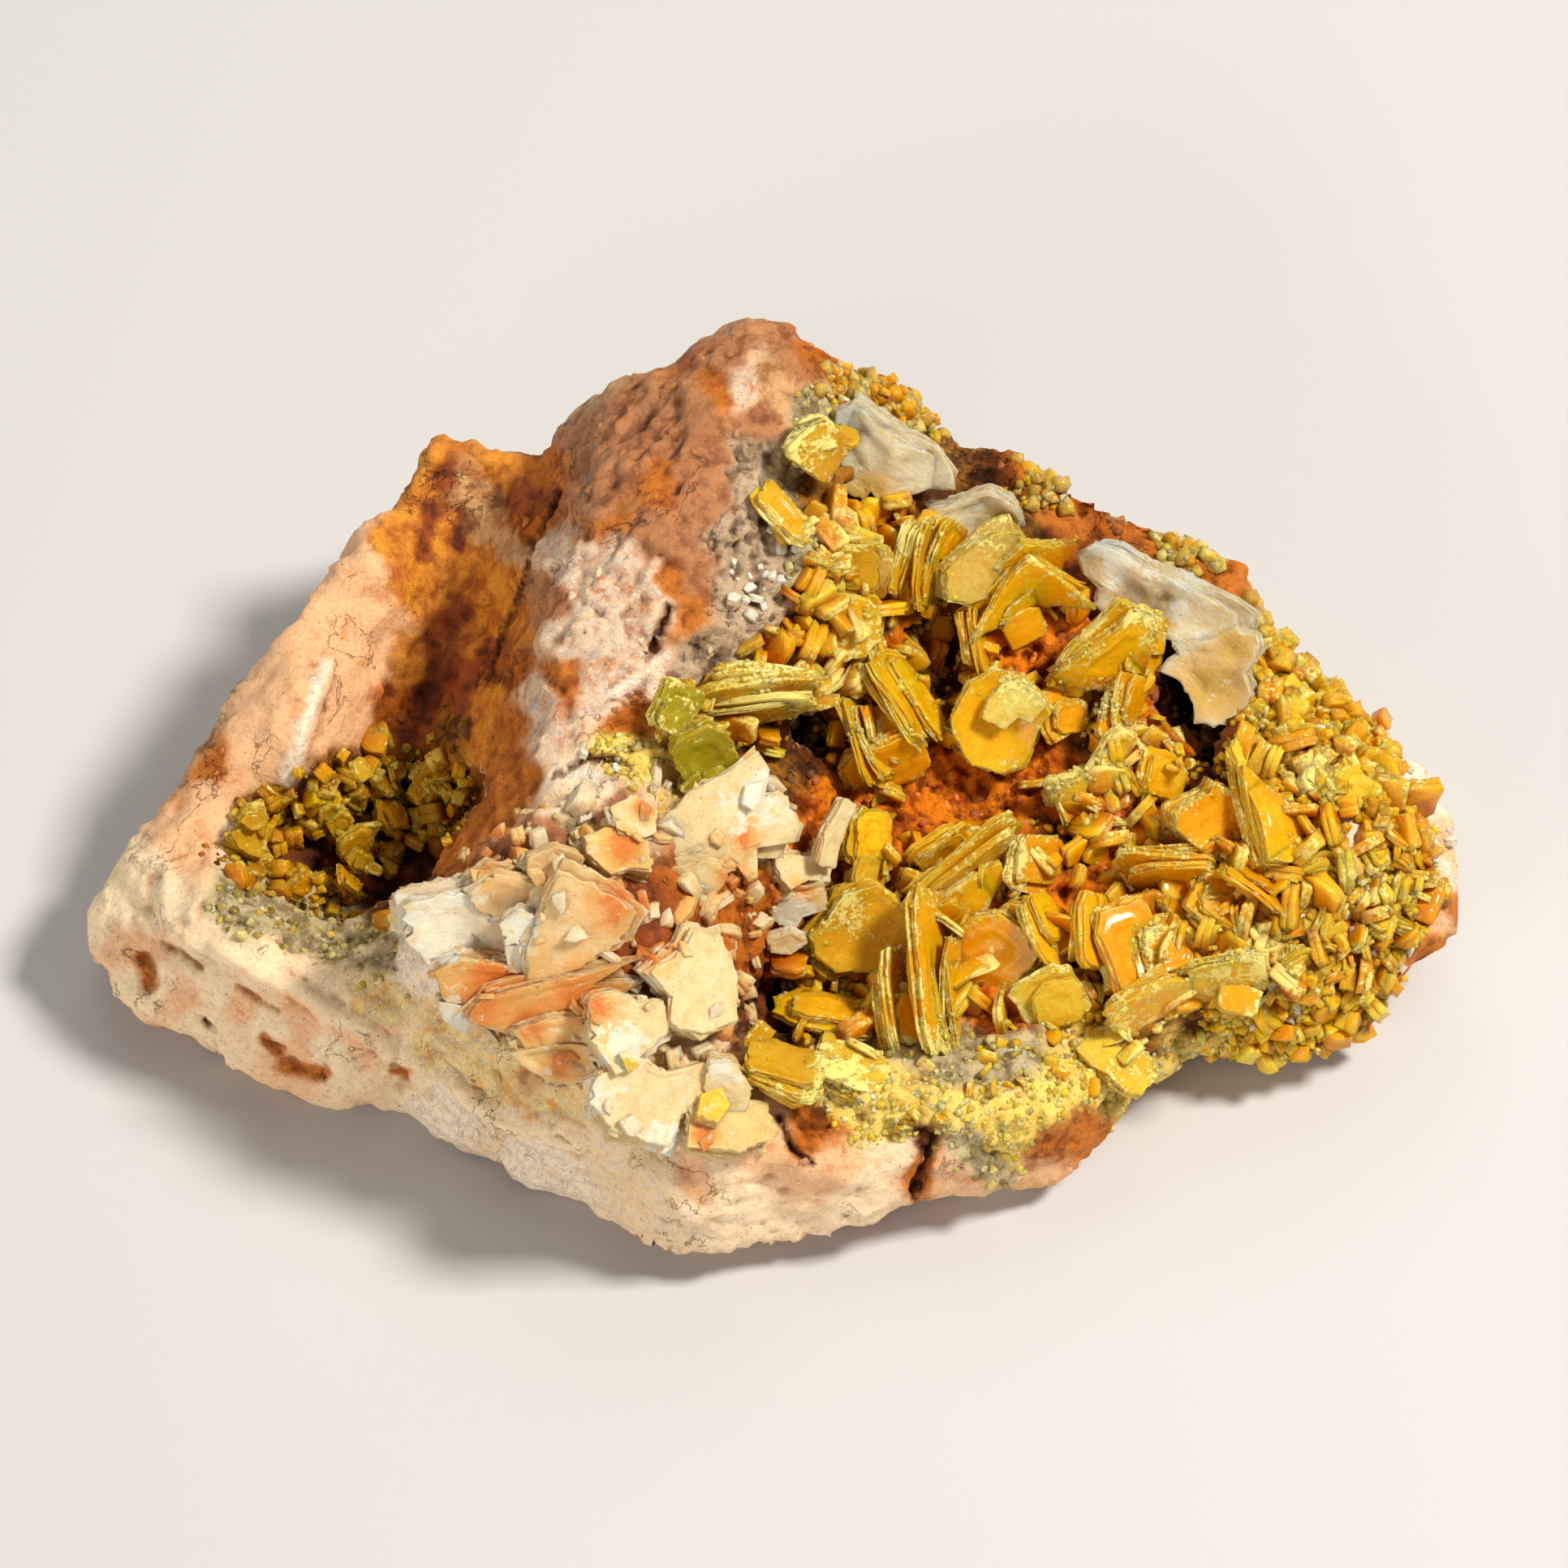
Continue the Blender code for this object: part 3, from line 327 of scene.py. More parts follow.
# %% Kinds of ground
Ground = namedtuple("Ground", "colour stain cover lumps grain pores gloss")
GROUNDS = {
    "peach": ((246, 192, 140), (230, 150, 88), 0.38, 0.28, 0.07, 0, 0.35),
    "tan": ((216, 168, 112), (176, 112, 52), 0.45, 0.30, 0.08, 0.1, 0.3),
    "cream": ((254, 224, 180), (244, 184, 124), 0.36, 0.30, 0.09, 0, 0.35),
    "buttery": ((248, 214, 142), (222, 160, 70), 0.45, 0.25, 0.08, 0, 0.7),
    "white": ((255, 234, 202), (246, 204, 152), 0.34, 0.20, 0.08, 0, 0.6),
    "silver": ((246, 218, 182), (252, 214, 160), 0.5, 0.18, 0.06, 0, 0.5),
    "orange": ((206, 120, 40), (164, 80, 20), 0.45, 0.35, 0.12, 0.25, 0.2),
    "golden": ((230, 150, 40), (186, 98, 16), 0.48, 0.35, 0.12, 0.2, 0.3),
    "rust": ((194, 106, 26), (122, 58, 10), 0.48, 0.40, 0.16, 0.5, 0.1),
    "oxblood": ((158, 72, 10), (100, 38, 4), 0.45, 0.35, 0.14, 0.3, 0.3),
    # Umber lies in the deepest gaps between crystals and in the pocket, where its darkness is partly painted shade.
    "umber": ((112, 54, 12), (50, 22, 5), 0.5, 0.35, 0.15, 0.7, 0.1),
    "ridge": ((188, 124, 72), (150, 84, 34), 0.46, 0.30, 0.18, 0.15, 0.42),
    "veined": ((242, 208, 172), (214, 138, 78), 0.44, 0.30, 0.18, 0, 0.6),
    "porous": ((200, 172, 136), (116, 86, 58), 0.45, 0.18, 0.18, 1, 0.42),
    "ashen": ((202, 184, 136), (132, 112, 66), 0.5, 0.15, 0.2, 0.4, 0.5),
    # Olive lies under the druse and is dark so that the gaps between crystals read dark: partly painted shade.
    "olive": ((166, 108, 22), (86, 46, 6), 0.5, 0.20, 0.20, 0.4, 0.2),
    "limonite": ((234, 130, 10), (142, 56, 4), 0.5, 0.30, 0.25, 1, 0.1),
    "sulphur": ((246, 214, 104), (214, 160, 50), 0.42, 0.20, 0.22, 0.4, 0.3),
}
GROUNDS = {kind: Ground(srgb(*colour), srgb(*stain), *rest) for kind, (colour, stain, *rest) in GROUNDS.items()}
KINDS = list(GROUNDS)
# Where each kind lies: x and y on the face.
SPOTS = {
    "peach": [(-22.4, 5.8), (-24.6, 3), (-21.6, 3.4), (-26.4, -10.6), (-29.6, -10.6), (-20.6, -12.4), (-24.9, 8.1),
        (-26.5, 4.2), (-22.2, 10.8), (-20.8, 13), (-28.1, -0.4), (-29.2, -2.8), (-25.3, 1.4), (31.5, -4.1),
        (33.2, -3.7), (31.8, -7), (-4, -19.6), (2, -18.6), (-19.5, -12.4), (8.4, -18.9), (-23.5, -11.6), (13, -18.4),
        (-1.2, -17.4), (-31.6, -8), (-23.8, -13), (-20.4, 6.2), (-19.8, 9), (-20.6, 11)],
    "tan": [(-14.2, 12.6), (-13.4, 11.4), (-12, -14.6), (-10.4, 19), (-29, 1.6), (-15.4, 15), (-0.6, 19.4)],
    "cream": [(-31.6, -4.5), (-32.7, -6.4), (-30.4, -5.7), (-26.1, -9.2), (-22.2, -10.4), (-18.3, -13.1),
        (-28.1, -8.4), (-2.6, -20.6), (3.7, -20.2), (-2.4, -18.2), (-27.6, -10), (-24.8, -11.6), (5.6, -17.6),
        (-6.5, -18.4), (-3, -15.6), (-31.2, -9.8), (-28.6, -11.8), (-21.8, -13.2)],
    "buttery": [(-14.3, -14.3), (-11.6, -14.8), (-16.8, -12.6), (-10.2, -16.4), (-19.6, -11), (-9.8, -15.4),
        (-13, -13.8)],
    "white": [(-10.4, 0), (-9.4, -0.8), (-15.9, -15.8), (-12.4, -17.8), (-10.4, -18.9), (32.3, -4.1), (31.1, -0.9),
        (-17.8, -7.1), (-18, -9), (-25.8, -3), (27, -3)],
    "silver": [(-11.2, -0.8), (-10.8, 1), (-13.6, -16.6), (-8.1, -18.6), (-6.5, -19.8), (-9.4, -17.6), (-4.9, -20.9)],
    "orange": [(-12.4, 15.5), (-28.2, 0.9), (-10.4, 4.9), (13.1, 13.6), (17.8, 12.7), (22.5, 9.6), (33.3, -6.2),
        (31.6, -8.4), (-13.6, 2.6), (-12.8, 0.2), (-8.6, 13), (-4.4, 8), (4, 20.6), (-14.4, -1.6), (-16, -3.6),
        (14, -17), (27.6, -8), (-6.2, 14.4), (-3.2, 19), (-5.4, 10)],
    "golden": [(-16.9, 9.6), (-18.3, 14.3), (-15.2, 11), (-14, 9.4), (-17.6, 16.2), (-13.4, 7.8), (-14.5, 15.8),
        (-15, 7.2), (-18.6, 9.4), (-16.6, 12.2), (-18.6, 6.2), (-14.8, 4.4), (-19.2, 11.8), (-15.2, 2.6)],
    "rust": [(-12.4, 12.4), (-13.4, 5.4), (-19.2, 3.6), (1.3, 21), (2.9, 20.6), (11.5, 15.5), (14.3, 14.7), (17, 13.6),
        (19, 12), (20.9, 10.6), (1.3, -16.6), (6.8, -18.6), (13.1, -18.1), (-7.6, 3), (15.8, 11), (-3.4, -6.6),
        (-1, -9), (22.9, 8.4)],
    "oxblood": [(-16.9, 15.2), (-16, 8.3), (-14.2, 6.4), (-16.2, 5.2), (-17.6, 4.6), (-18.4, 2.4), (-12.9, 14.5),
        (-5.6, -7.8), (4.2, 4.6), (13.4, 10.2)],
    "umber": [(-19, -3.2), (-22.8, -2.6), (-20.2, -0.6), (-19.4, -4.5), (-23, -0.9), (-17.5, -2.9), (-24.5, -2.9),
        (-15.9, -0.9), (-17.4, -4.8), (-20.2, -5.4), (-18.8, -5.8), (8, 6.9), (8.4, 4.2), (1.3, 2.6), (0.2, 2),
        (6, 8.5), (-1, -10), (0.6, -10.6), (20, 3.4), (19.8, 2), (20.4, 5), (0, -12.7), (10.9, 15.3), (3.8, 13.6),
        (1.6, 4.2), (20.2, 6.5), (6.6, -16.9), (13.3, -3), (15, 3.2)],
    "ridge": [(-2.6, 20.2), (-4.2, 18.3), (-6.5, 17.5), (-8.1, 15.9), (-8.9, 13.6), (-3.4, 13.6), (-4.5, 10.4),
        (-9.6, 17.5), (-1.2, 17.8), (-13.5, -4), (-12, 9), (0.4, 20.4), (-11.4, -2.6), (-9, -1.2), (-6.5, 12),
        (-4, 15.8)],
    "veined": [(-8.1, 11.2), (-8.9, 8.1), (-6.9, 5.7), (-10.4, 6.5), (-8.9, 4.5), (-6.5, 9), (-1.8, 19.2), (-9.6, 9.8),
        (-11, 2), (-7.4, 7), (-11, 11.2), (-12, 4)],
    "porous": [(-1.4, 15.9), (-0.2, 12.8), (-1.8, 9.6), (-3.8, 7.3), (-0.2, 10.4), (-2.6, 12), (-3.4, 5.8), (0.6, 8.6),
        (-1.2, 7), (-2.2, 13.8)],
    "ashen": [(-26.1, -5.6), (-24.2, -6.1), (-21.4, -7.2), (-19.1, -8.4), (1.3, 10.8), (2, 12.8), (9.2, -14),
        (10.8, -13.2), (9.2, -17.8), (3, -12.6), (7.9, -13.6), (3.3, 9), (-10, -1.6), (0.4, 14.4), (1, 9.8),
        (1.6, 18.6)],
    "olive": [(-21.4, 0.2), (-18.3, 1.4), (-16.3, 2.6), (-18.6, -1.8), (-24.9, -1.7), (-21, -3.3), (1.3, 14.3),
        (3.3, 14.3), (8.4, 15.9), (5, 20), (6.6, 18.2), (12, 12.6), (24.9, 2.6), (26.8, 0.6), (28.8, -1.3),
        (28.8, -4.5), (26.8, -5.3), (24.9, -9.2), (22.9, -11.2), (30.7, -4.5), (24.2, 5), (20, -9.5), (20.9, -11.5),
        (-0.4, 0.8), (3.2, 6.6), (17, -12.6), (29.8, -7.4), (4.6, 8), (27, -10)],
    "limonite": [(13.1, 7.7), (14.4, 8.6), (7.6, 1), (8.4, 1.4), (11.1, -1), (14.3, -0.9), (5.5, 7.1), (12.7, 3.4),
        (15.9, 7.3), (4.4, -1), (6.8, -1.6), (9.4, -2), (12.6, 0.4), (1.2, -8), (1.6, -2.4), (10, 6), (17, -3),
        (5.2, -8.6), (14, -5.4), (10.6, -10.4), (18.2, 2.4), (3, 4)],
    "sulphur": [(3.3, -14.7), (7.2, -15.8), (11.1, -16.6), (1.3, -14.3), (13.1, -15.1), (5.3, -16.2), (15.6, -14),
        (18.4, -13.4), (9.4, -15.8), (22, -12.2), (-7.8, 1.6), (0.6, 6)],
}
print(sum(map(len, SPOTS.values())), "spots of", len(GROUNDS), "kinds of ground")


# %% Reading the ground at a point
SPOT_WARP = 1.0  # how far borders wander, in millimetres
SPOT_SHARPNESS = 4.0  # higher makes borders between kinds sharper
SPOT_SCATTER = 2.6  # higher breaks up each kind into more islands
SPOT_BLUR = 0.15  # keeps a spot's own share finite, in square millimetres
BROKEN_SHARPNESS = 13  # the same for the broken rock behind
# Seams run along a line of the face: the kind of ground, its rise or fall, its half width and the line.
SEAMS = [
    ("white", 0.4, 0.42, [(-22.6, 5.8), (-23.1, 3.8), (-23.7, 2), (-24.4, 0.2)]),
    ("oxblood", 0, 0.42, [(-17.4, 13.6), (-17.7, 11.2)]),
    ("oxblood", 0, 0.30, [(-15.9, 13.6), (-16, 11.6)]),
    ("oxblood", -0.15, 0.50, [(-17.6, 7.4), (-17.2, 5.4), (-17.4, 3.6)]),
    ("oxblood", -0.15, 0.40, [(-14.4, 7), (-15.4, 5.4), (-16, 3.6)]),
    ("umber", -0.45, 0.22, [(-5.7, 8.6), (-6.1, 7.6), (-6.4, 6.4)]),
    ("umber", -0.45, 0.25, [(7.4, -17), (6.9, -18.4), (6.3, -20.2)]),
    ("umber", -0.35, 0.20, [(-11, 14.4), (-12.3, 11.6), (-13.2, 8.6), (-14.3, 5.4)]),
    ("silver", 0.15, 0.6, [(-10.4, -16.6), (-7.6, -18.4), (-4.6, -20.8)]),
    ("umber", -0.3, 0.2, [(-0.4, -16.2), (0.2, -17.4), (1.4, -18.2)]),
    ("veined", 0.25, 0.3, [(-9.6, 9.4), (-8.2, 8), (-7.8, 6.2), (-6.4, 5.2)]),
    ("veined", 0.25, 0.25, [(-6.2, 10.8), (-7.4, 9), (-8.6, 8), (-10.2, 7.4)]),
    ("white", 0.2, 0.25, [(-5.8, 6.2), (-7.2, 5), (-8.6, 4.4)]),
    ("umber", -0.3, 0.2, [(-11.2, 0.2), (-9.4, 1.2), (-7.8, 1)]),
    ("orange", -0.15, 0.50, [(-31.4, -8.5), (-31.1, -9.8)]),
    ("rust", -0.25, 0.35, [(-25.3, -12.4), (-24.6, -13)]),
    ("orange", -0.2, 0.55, [(-24.2, -13.7), (-22.6, -14)]),
    ("orange", -0.1, 0.30, [(-18.9, -13.8), (-18.2, -14)]),
    ("umber", -0.4, 0.18, [(-28.3, -11.4), (-27.9, -11.9)]),
    ("cream", 0.4, 0.45, [(-29.6, -7.2), (-26, -8.6), (-22.6, -10.6), (-19, -12.8)]),
    ("tan", -0.16, 0.20, [(-30.4, -7.6), (-28.6, -8.8)]),
    ("tan", -0.14, 0.18, [(-26.4, -9.8), (-24.6, -11)]),
    ("cream", 0.4, 0.50, [(-16.4, -14.6), (-12.6, -16.6), (-9.8, -17.4)]),
]
# How much of each kind shows behind and below.
BROKEN_MIX = {"peach": 1.0, "tan": 0.9, "cream": 0.75, "orange": 0.6, "golden": 0.4, "ridge": 0.8, "rust": 0.45,
              "silver": 0.25, "white": 0.25, "umber": 0.15}


def line_distance(places, line):
    """How far each place lies from a line of points across the face."""
    nearest = np.full(len(places), 1e9)
    for (ax, ay), (bx, by) in zip(line, line[1:]):
        x, y = places[:, 0] - ax, places[:, 1] - ay
        along = np.clip((x * (bx - ax) + y * (by - ay)) / ((bx - ax) ** 2 + (by - ay) ** 2), 0, 1)
        nearest = np.minimum(nearest, np.hypot(x - along * (bx - ax), y - along * (by - ay)))
    return nearest


def wandering(places):
    """The places, moved about on the face, so that what is laid on them gets ragged borders."""
    moved = places.copy()
    for axis in (0, 1):
        moved[:, axis] += SPOT_WARP * layered_noise(places, 2.6, 4, 0.62, seed=40 + axis)
    return moved


def along_seams(places, moved):
    """For each seam: its kind, its rise and how much of it lies at each place."""
    wavy = places + 0.5 * (moved - places)
    for kind, rise, half, line in SEAMS:
        yield kind, rise, 1 - ease(line_distance(wavy, line), 0.5 * half, 1.3 * half)


def ground_shares(places):
    """How much of each kind lies at each place on the display face: one row a place, one column a kind."""
    flat = wandering(places)
    shares = np.zeros((len(places), len(KINDS)), np.float32)
    for column, kind in enumerate(KINDS):
        for x, y in SPOTS[kind]:
            away = (flat[:, 0] - x) ** 2 + (flat[:, 1] - y) ** 2
            shares[:, column] += (away + SPOT_BLUR) ** -SPOT_SHARPNESS
        shares[:, column] *= np.exp(SPOT_SCATTER * layered_noise(places, 1.9, 3, 0.65, seed=60 + column))
    shares /= shares.sum(axis=1, keepdims=True)
    for kind, _, on in along_seams(places, flat):
        shares *= 1 - on[:, None]
        shares[:, KINDS.index(kind)] += on
    return shares


def broken_shares(places):
    """The same behind and below, where the rock was broken off: patches of the plainer kinds."""
    shares = np.zeros((len(places), len(KINDS)), np.float32)
    for kind, much in BROKEN_MIX.items():
        column = KINDS.index(kind)
        field = layered_noise(places, 7.0, 4, 0.55, seed=300 + column)
        shares[:, column] = much * np.exp(BROKEN_SHARPNESS * field)
    return shares / shares.sum(axis=1, keepdims=True)


def all_shares(places, facing):
    """The ground's kinds all over the rock: the display face's spots in front, broken rock behind."""
    front = ease(facing + 0.12 * layered_noise(places, 3.0, seed=5), -0.25, 0.2)[:, None]
    return front * ground_shares(places) + (1 - front) * broken_shares(places)


def kind_values(shares, field):
    """A colour or number of the grounds, mixed by their shares."""
    return shares @ np.array([getattr(ground, field) for ground in GROUNDS.values()])


def share_of(shares, *kinds):
    """How much of these kinds together lies at each place."""
    return shares[:, [KINDS.index(kind) for kind in kinds]].sum(axis=1)


middle_shares = all_shares(np.zeros((1, 3)), np.ones(1))[0]
print("the face's middle is mostly", KINDS[middle_shares.argmax()])

# %% [markdown]
# ## The rock's surface
# The solid's copy is merged, remeshed into even quads and smoothed, which hides its facets. Then it is pushed in
# and out along its normals: lumps first, then grain, pores, the bedding of the lower edge and the spongy floor of
# the hollow. The copy stays within the solids' box, and its resting face stays flat.

# %% Reading and writing a mesh
def modified(obj, kind, **settings):
    """Applies one modifier to the object's mesh."""
    modifier = obj.modifiers.new(kind.title(), kind)
    for key, value in settings.items():
        setattr(modifier, key, value)
    graph = bpy.context.evaluated_depsgraph_get()
    graph.update()
    mesh = bpy.data.meshes.new_from_object(obj.evaluated_get(graph))
    obj.modifiers.clear()
    obj.data = mesh


def read(obj, normals=False):
    """The object's points, or their normals, as an array."""
    source, field = (obj.data.vertex_normals, "vector") if normals else (obj.data.vertices, "co")
    values = np.empty(len(source) * 3, np.float32)
    source.foreach_get(field, values)
    return values.reshape(-1, 3).astype(float)


def boxed(points):
    """The points, kept inside the solids' box, as a flat array."""
    return np.clip(points, *map(np.array, solid_box)).astype(np.float32).ravel()


def write(obj, points):
    """Moves the object's points."""
    obj.data.vertices.foreach_set("co", boxed(points))
    obj.data.update()


def paint(obj, name, values):
    """Keeps a number, a colour or (as "place") a place for each point of the object, for its material to read."""
    kind, field = ("FLOAT", "value") if values.ndim == 1 else ("FLOAT_VECTOR", "vector")
    if values.ndim == 2 and name != "place":
        kind, field = "FLOAT_COLOR", "color"
        values = np.column_stack([values, np.ones(len(values))])
    layer = obj.data.attributes.new(name, kind, "POINT")
    layer.data.foreach_set(field, values.astype(np.float32).ravel())


def blurred(obj, values, times):
    """values, averaged with their neighbours along the mesh's edges, this many times over."""
    edges = np.empty(len(obj.data.edges) * 2, np.int32)
    obj.data.edges.foreach_get("vertices", edges)
    a, b = edges.reshape(-1, 2).T
    count = np.bincount(a, minlength=len(values)) + np.bincount(b, minlength=len(values))
    for _ in range(times):
        total = np.stack([
            np.bincount(a, column[b], len(values)) + np.bincount(b, column[a], len(values)) for column in values.T
        ], axis=1)
        values = (values + total) / (1 + count)[:, None]
    return values


# %% Zones of the display face
# Each zone's edge: x and y of its corners.
HOLLOW = [
    (-1.4, 10.4), (0.5, 13.6), (2.9, 12.8), (5.6, 13.6), (8.4, 12), (11.5, 11.2), (14.3, 10.4), (17, 8.1), (20.2, 4.9),
    (23.3, 4.2), (25.6, 3.4), (28.4, 1.8), (30.5, 0.6), (31.7, -1.3), (32.3, -3.7), (31.1, -6.8), (28.8, -9.6),
    (26.4, -11.1), (23.3, -11.7), (19.8, -11.9), (18.2, -13.1), (15.5, -15.5), (13.1, -17.4), (9.2, -17.8), (4.5, -17),
    (1.3, -15.8), (-0.8, -13.9), (-0.4, -11.9), (-1, -9.2), (0.2, -7.2), (2.7, -5.3), (2.5, -2.1), (2.1, 0.6),
    (-0.2, 1.4), (-2.6, 0.6), (-5.7, 1.4), (-6.9, 3.8), (-5.3, 4.9), (-2.6, 6.5),
]
BARITE_GROUND = [
    (-17.2, -5.6), (-15.4, -3.5), (-12.8, -1.3), (-9.6, 0.2), (-7.3, 0.6), (-4.5, 0), (-2.6, 0), (-0.6, 0.2),
    (1.5, -1.7), (1.9, -4.9), (-0.6, -6.8), (-1.6, -9.2), (-1.4, -11.5), (-1.6, -14.3), (-1.4, -17), (-4.2, -18.6),
    (-7.3, -17), (-9.6, -14.7), (-12.8, -13.5), (-15.5, -11.3), (-16.9, -8.8),
]
POCKET = [
    (-28.1, -3.3), (-26.5, -0.7), (-23.8, 0.6), (-20.2, 1.8), (-16.7, 1.8), (-15.1, 0.2), (-15.9, -2.1), (-17.5, -4.5),
    (-18.7, -7.2), (-21, -6.8), (-24.2, -5.6), (-26.5, -4.9),
]


def depth_inside(places, zone):
    """How far each place lies inside the zone's edge, and below nothing outside it."""
    edge = zone + zone[:1]
    inside = np.zeros(len(places), bool)
    x, y = places[:, 0], places[:, 1]
    for (ax, ay), (bx, by) in zip(edge, edge[1:]):
        if ay != by:
            inside ^= ((ay > y) != (by > y)) & (x < (bx - ax) * (y - ay) / (by - ay) + ax)
    nearest = line_distance(places, edge)
    return np.where(inside, nearest, -nearest)


for name, zone in (("hollow", HOLLOW), ("barite's ground", BARITE_GROUND), ("pocket", POCKET)):
    print("the", name, "has", len(zone), "corners round", np.mean(zone, axis=0).round(1))

# %% Remesh the rock
ROCK_CELL = 0.26  # millimetres between the remeshed rock's points
SMOOTHINGS = 14  # enough to hide the solid's facets, few enough to keep its edges
bm = bmesh.new()
bm.from_mesh(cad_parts["matrix_rock"].data)
bmesh.ops.remove_doubles(bm, verts=bm.verts, dist=1e-6)
rock = link("rock_surface", bm)
modified(rock, "REMESH", mode="VOXEL", voxel_size=ROCK_CELL * MM)
modified(rock, "SMOOTH", factor=0.5, iterations=SMOOTHINGS)
print("the remeshed rock has", len(rock.data.polygons), "faces")


# %% Broad forms, then fine ones
CRUST_HEIGHT = 0.8  # the crust that the crystals stand on, over the rock
BARITE_HEIGHT = 0.7
BEDDING_TURN = math.radians(-26)  # the lower edge's beds run down to the right
RIDGE_TURN = math.radians(62)  # the middle ridge's fibres run down to the left
BACK_TURN = 0.4


def turned(places, angle, along, across):
    """Places drawn out along a direction of the display face, for noise that runs in fibres."""
    c, s = math.cos(angle), math.sin(angle)
    x, y = places[:, 0] * c + places[:, 1] * s, places[:, 1] * c - places[:, 0] * s
    return np.stack([x / along, y / across, places[:, 2] / across], axis=1)


def broad_forms(places, facing, shares):
    lumps = kind_values(shares, "lumps")
    height = 2.2 * lumps * (layered_noise(places, 3.2, 3, 0.5, seed=1))
    height += 0.9 * lumps * (crested_noise(places, 2.4, 3, 0.55, seed=2) - 0.55)
    for zone, rise, edge in ((HOLLOW, CRUST_HEIGHT, 1.6), (BARITE_GROUND, BARITE_HEIGHT, 1.2)):
        height += ease(depth_inside(places, zone), 0.0, edge) * ease(facing, 0.0, 0.5) * rise
    bedding = ease(-depth_inside(places, BARITE_GROUND), -0.5, 2.0) * ease(-places[:, 1] - 0.55 * places[:, 0], 15, 21)
    height += bedding * 0.55 * (crested_noise(turned(places, BEDDING_TURN, 6, 0.9), 1.4, 2, seed=9) - 0.5)
    fibres = share_of(shares, "ridge", "veined")
    height += fibres * 0.8 * (crested_noise(turned(places, RIDGE_TURN, 3.2, 0.8), 1.3, 3, seed=12) - 0.5)
    back = 1 - ease(facing, -0.3, 0.1)
    height += back * 1.3 * (crested_noise(turned(places, BACK_TURN, 3.0, 1.2), 2.2, 4, 0.55, seed=15) - 0.5)
    return height


def fine_forms(places, facing, shares):
    grain, pores = kind_values(shares, "grain"), kind_values(shares, "pores")
    height = 2.0 * grain * layered_noise(places, 0.9, 2, 0.6, seed=21)
    height += 1.2 * grain * (crested_noise(places, 0.75, 2, 0.6, seed=22) - 0.6)
    height -= 0.42 * pores * (1 - ease(pore_noise(places, 1.15, seed=23), 0.12, 0.62))
    height -= 0.22 * pores * (1 - ease(pore_noise(places, 0.6, seed=26), 0.15, 0.6))
    for _, rise, on in along_seams(places, wandering(places)):
        height += rise * on * ease(facing, 0.0, 0.4)
    return height


# %% Push the rock in and out
ROCK_TRIANGLES = 190_000
LEVEL_EDGE = 1.2  # the resting face stays level to this height in millimetres
rock_shares = all_shares(to_face(read(rock)), read(rock, normals=True) @ FACE_OUT)
for forms in (broad_forms, fine_forms):
    points, normals = read(rock), read(rock, normals=True)
    height = forms(to_face(points), normals @ FACE_OUT, rock_shares)
    height *= ease(points[:, 2] / MM, 0.0, LEVEL_EDGE)
    write(rock, points + normals * height[:, None] * MM)
    print(forms.__name__, "run from", height.min().round(2), "to", height.max().round(2), "mm")
modified(rock, "DECIMATE", ratio=min(1, ROCK_TRIANGLES / (2 * len(rock.data.polygons))))
write(rock, read(rock))
rock.data.shade_smooth()

# %% Paint the rock
points, normals = read(rock), read(rock, normals=True)
places, facing = to_face(points), normals @ FACE_OUT
shares = all_shares(places, facing)
for name, field in (("ground", "colour"), ("stain", "stain"), ("cover", "cover"), ("gloss", "gloss")):
    paint(rock, name, kind_values(shares, field))
fine_hollow, broad_hollow = (((blurred(rock, points, times) - points) * normals).sum(axis=1) / MM for times in (3, 24))
paint(rock, "crevice", np.clip(0.5 + 2.2 * fine_hollow + 0.6 * broad_hollow, 0, 1))
print("crevices run from", fine_hollow.min().round(2), "to", fine_hollow.max().round(2), "mm deep")

# %% [markdown]
# ## The rock's finish
# The shader mixes ground and stain with noise far finer than the mesh, so stains have crisp edges. Crevices are
# darkened by iron stain and painted shade, and crests are made paler as painted highlight, which the crevice value
# tells it. Barite glints a little where it is clean.

# %% Rock material
stone = Finish("stained_barite_rock")
ground, stain = (stone.attribute(name, "Color") for name in ("ground", "stain"))
cover, crevice, gloss = map(stone.attribute, ("cover", "crevice", "gloss"))
patchy = stone.maths("ADD", stone.noise(1.2, 8, 0.66, 0.25), stone.maths("SUBTRACT", cover, 0.5))
colour = stone.laid(ground, stain, patchy, 0.40, 0.60)
mottle = stone.noise(0.28, 5, 0.7)
colour = stone.laid(colour, stone.times(colour, 1.3, 1.27, 1.22), mottle, 0.38, 0.68, 0.5)
colour = stone.laid(colour, stone.times(colour, 0.66, 0.56, 0.46), mottle, 0.50, 0.30, 0.4)
# Crevices are darkened, partly by iron stain and partly by painted shade; crests are lightened as painted highlight.
colour = stone.laid(colour, stone.times(stain, 0.46, 0.36, 0.26), crevice, 0.55, 0.95, 0.75)
colour = stone.laid(colour, stone.times(ground, 1.25, 1.22, 1.16), crevice, 0.42, 0.08, 0.45)
# Hairline cracks and pale veins lie where a noise passes through its middle value.
wander, threads = stone.from_middle(stone.noise(3.4, 6, 0.62, 0.5)), stone.from_middle(stone.noise(1.5, 5, 0.6, 1.2))
cracks = stone.maths("MULTIPLY", stone.between(wander, 0.010, 0.0), stone.between(stone.noise(5.0, 2), 0.52, 0.62))
colour = stone.mix(stone.maths("MULTIPLY", cracks, 0.6), colour, stone.times(stain, 0.35, 0.25, 0.18))
veins = stone.maths("MULTIPLY", stone.between(threads, 0.024, 0.004), stone.between(gloss, 0.42, 0.62, 0.0, 0.6))
colour = stone.mix(veins, colour, srgb(246, 236, 224))
colour = stone.laid(colour, srgb(58, 32, 14), stone.noise(0.16, 1), 0.70, 0.75, 0.7)
rough = stone.maths("SUBTRACT", stone.between(gloss, 0.0, 0.7, 0.85, 0.38), stone.maths("MULTIPLY", mottle, 0.25))
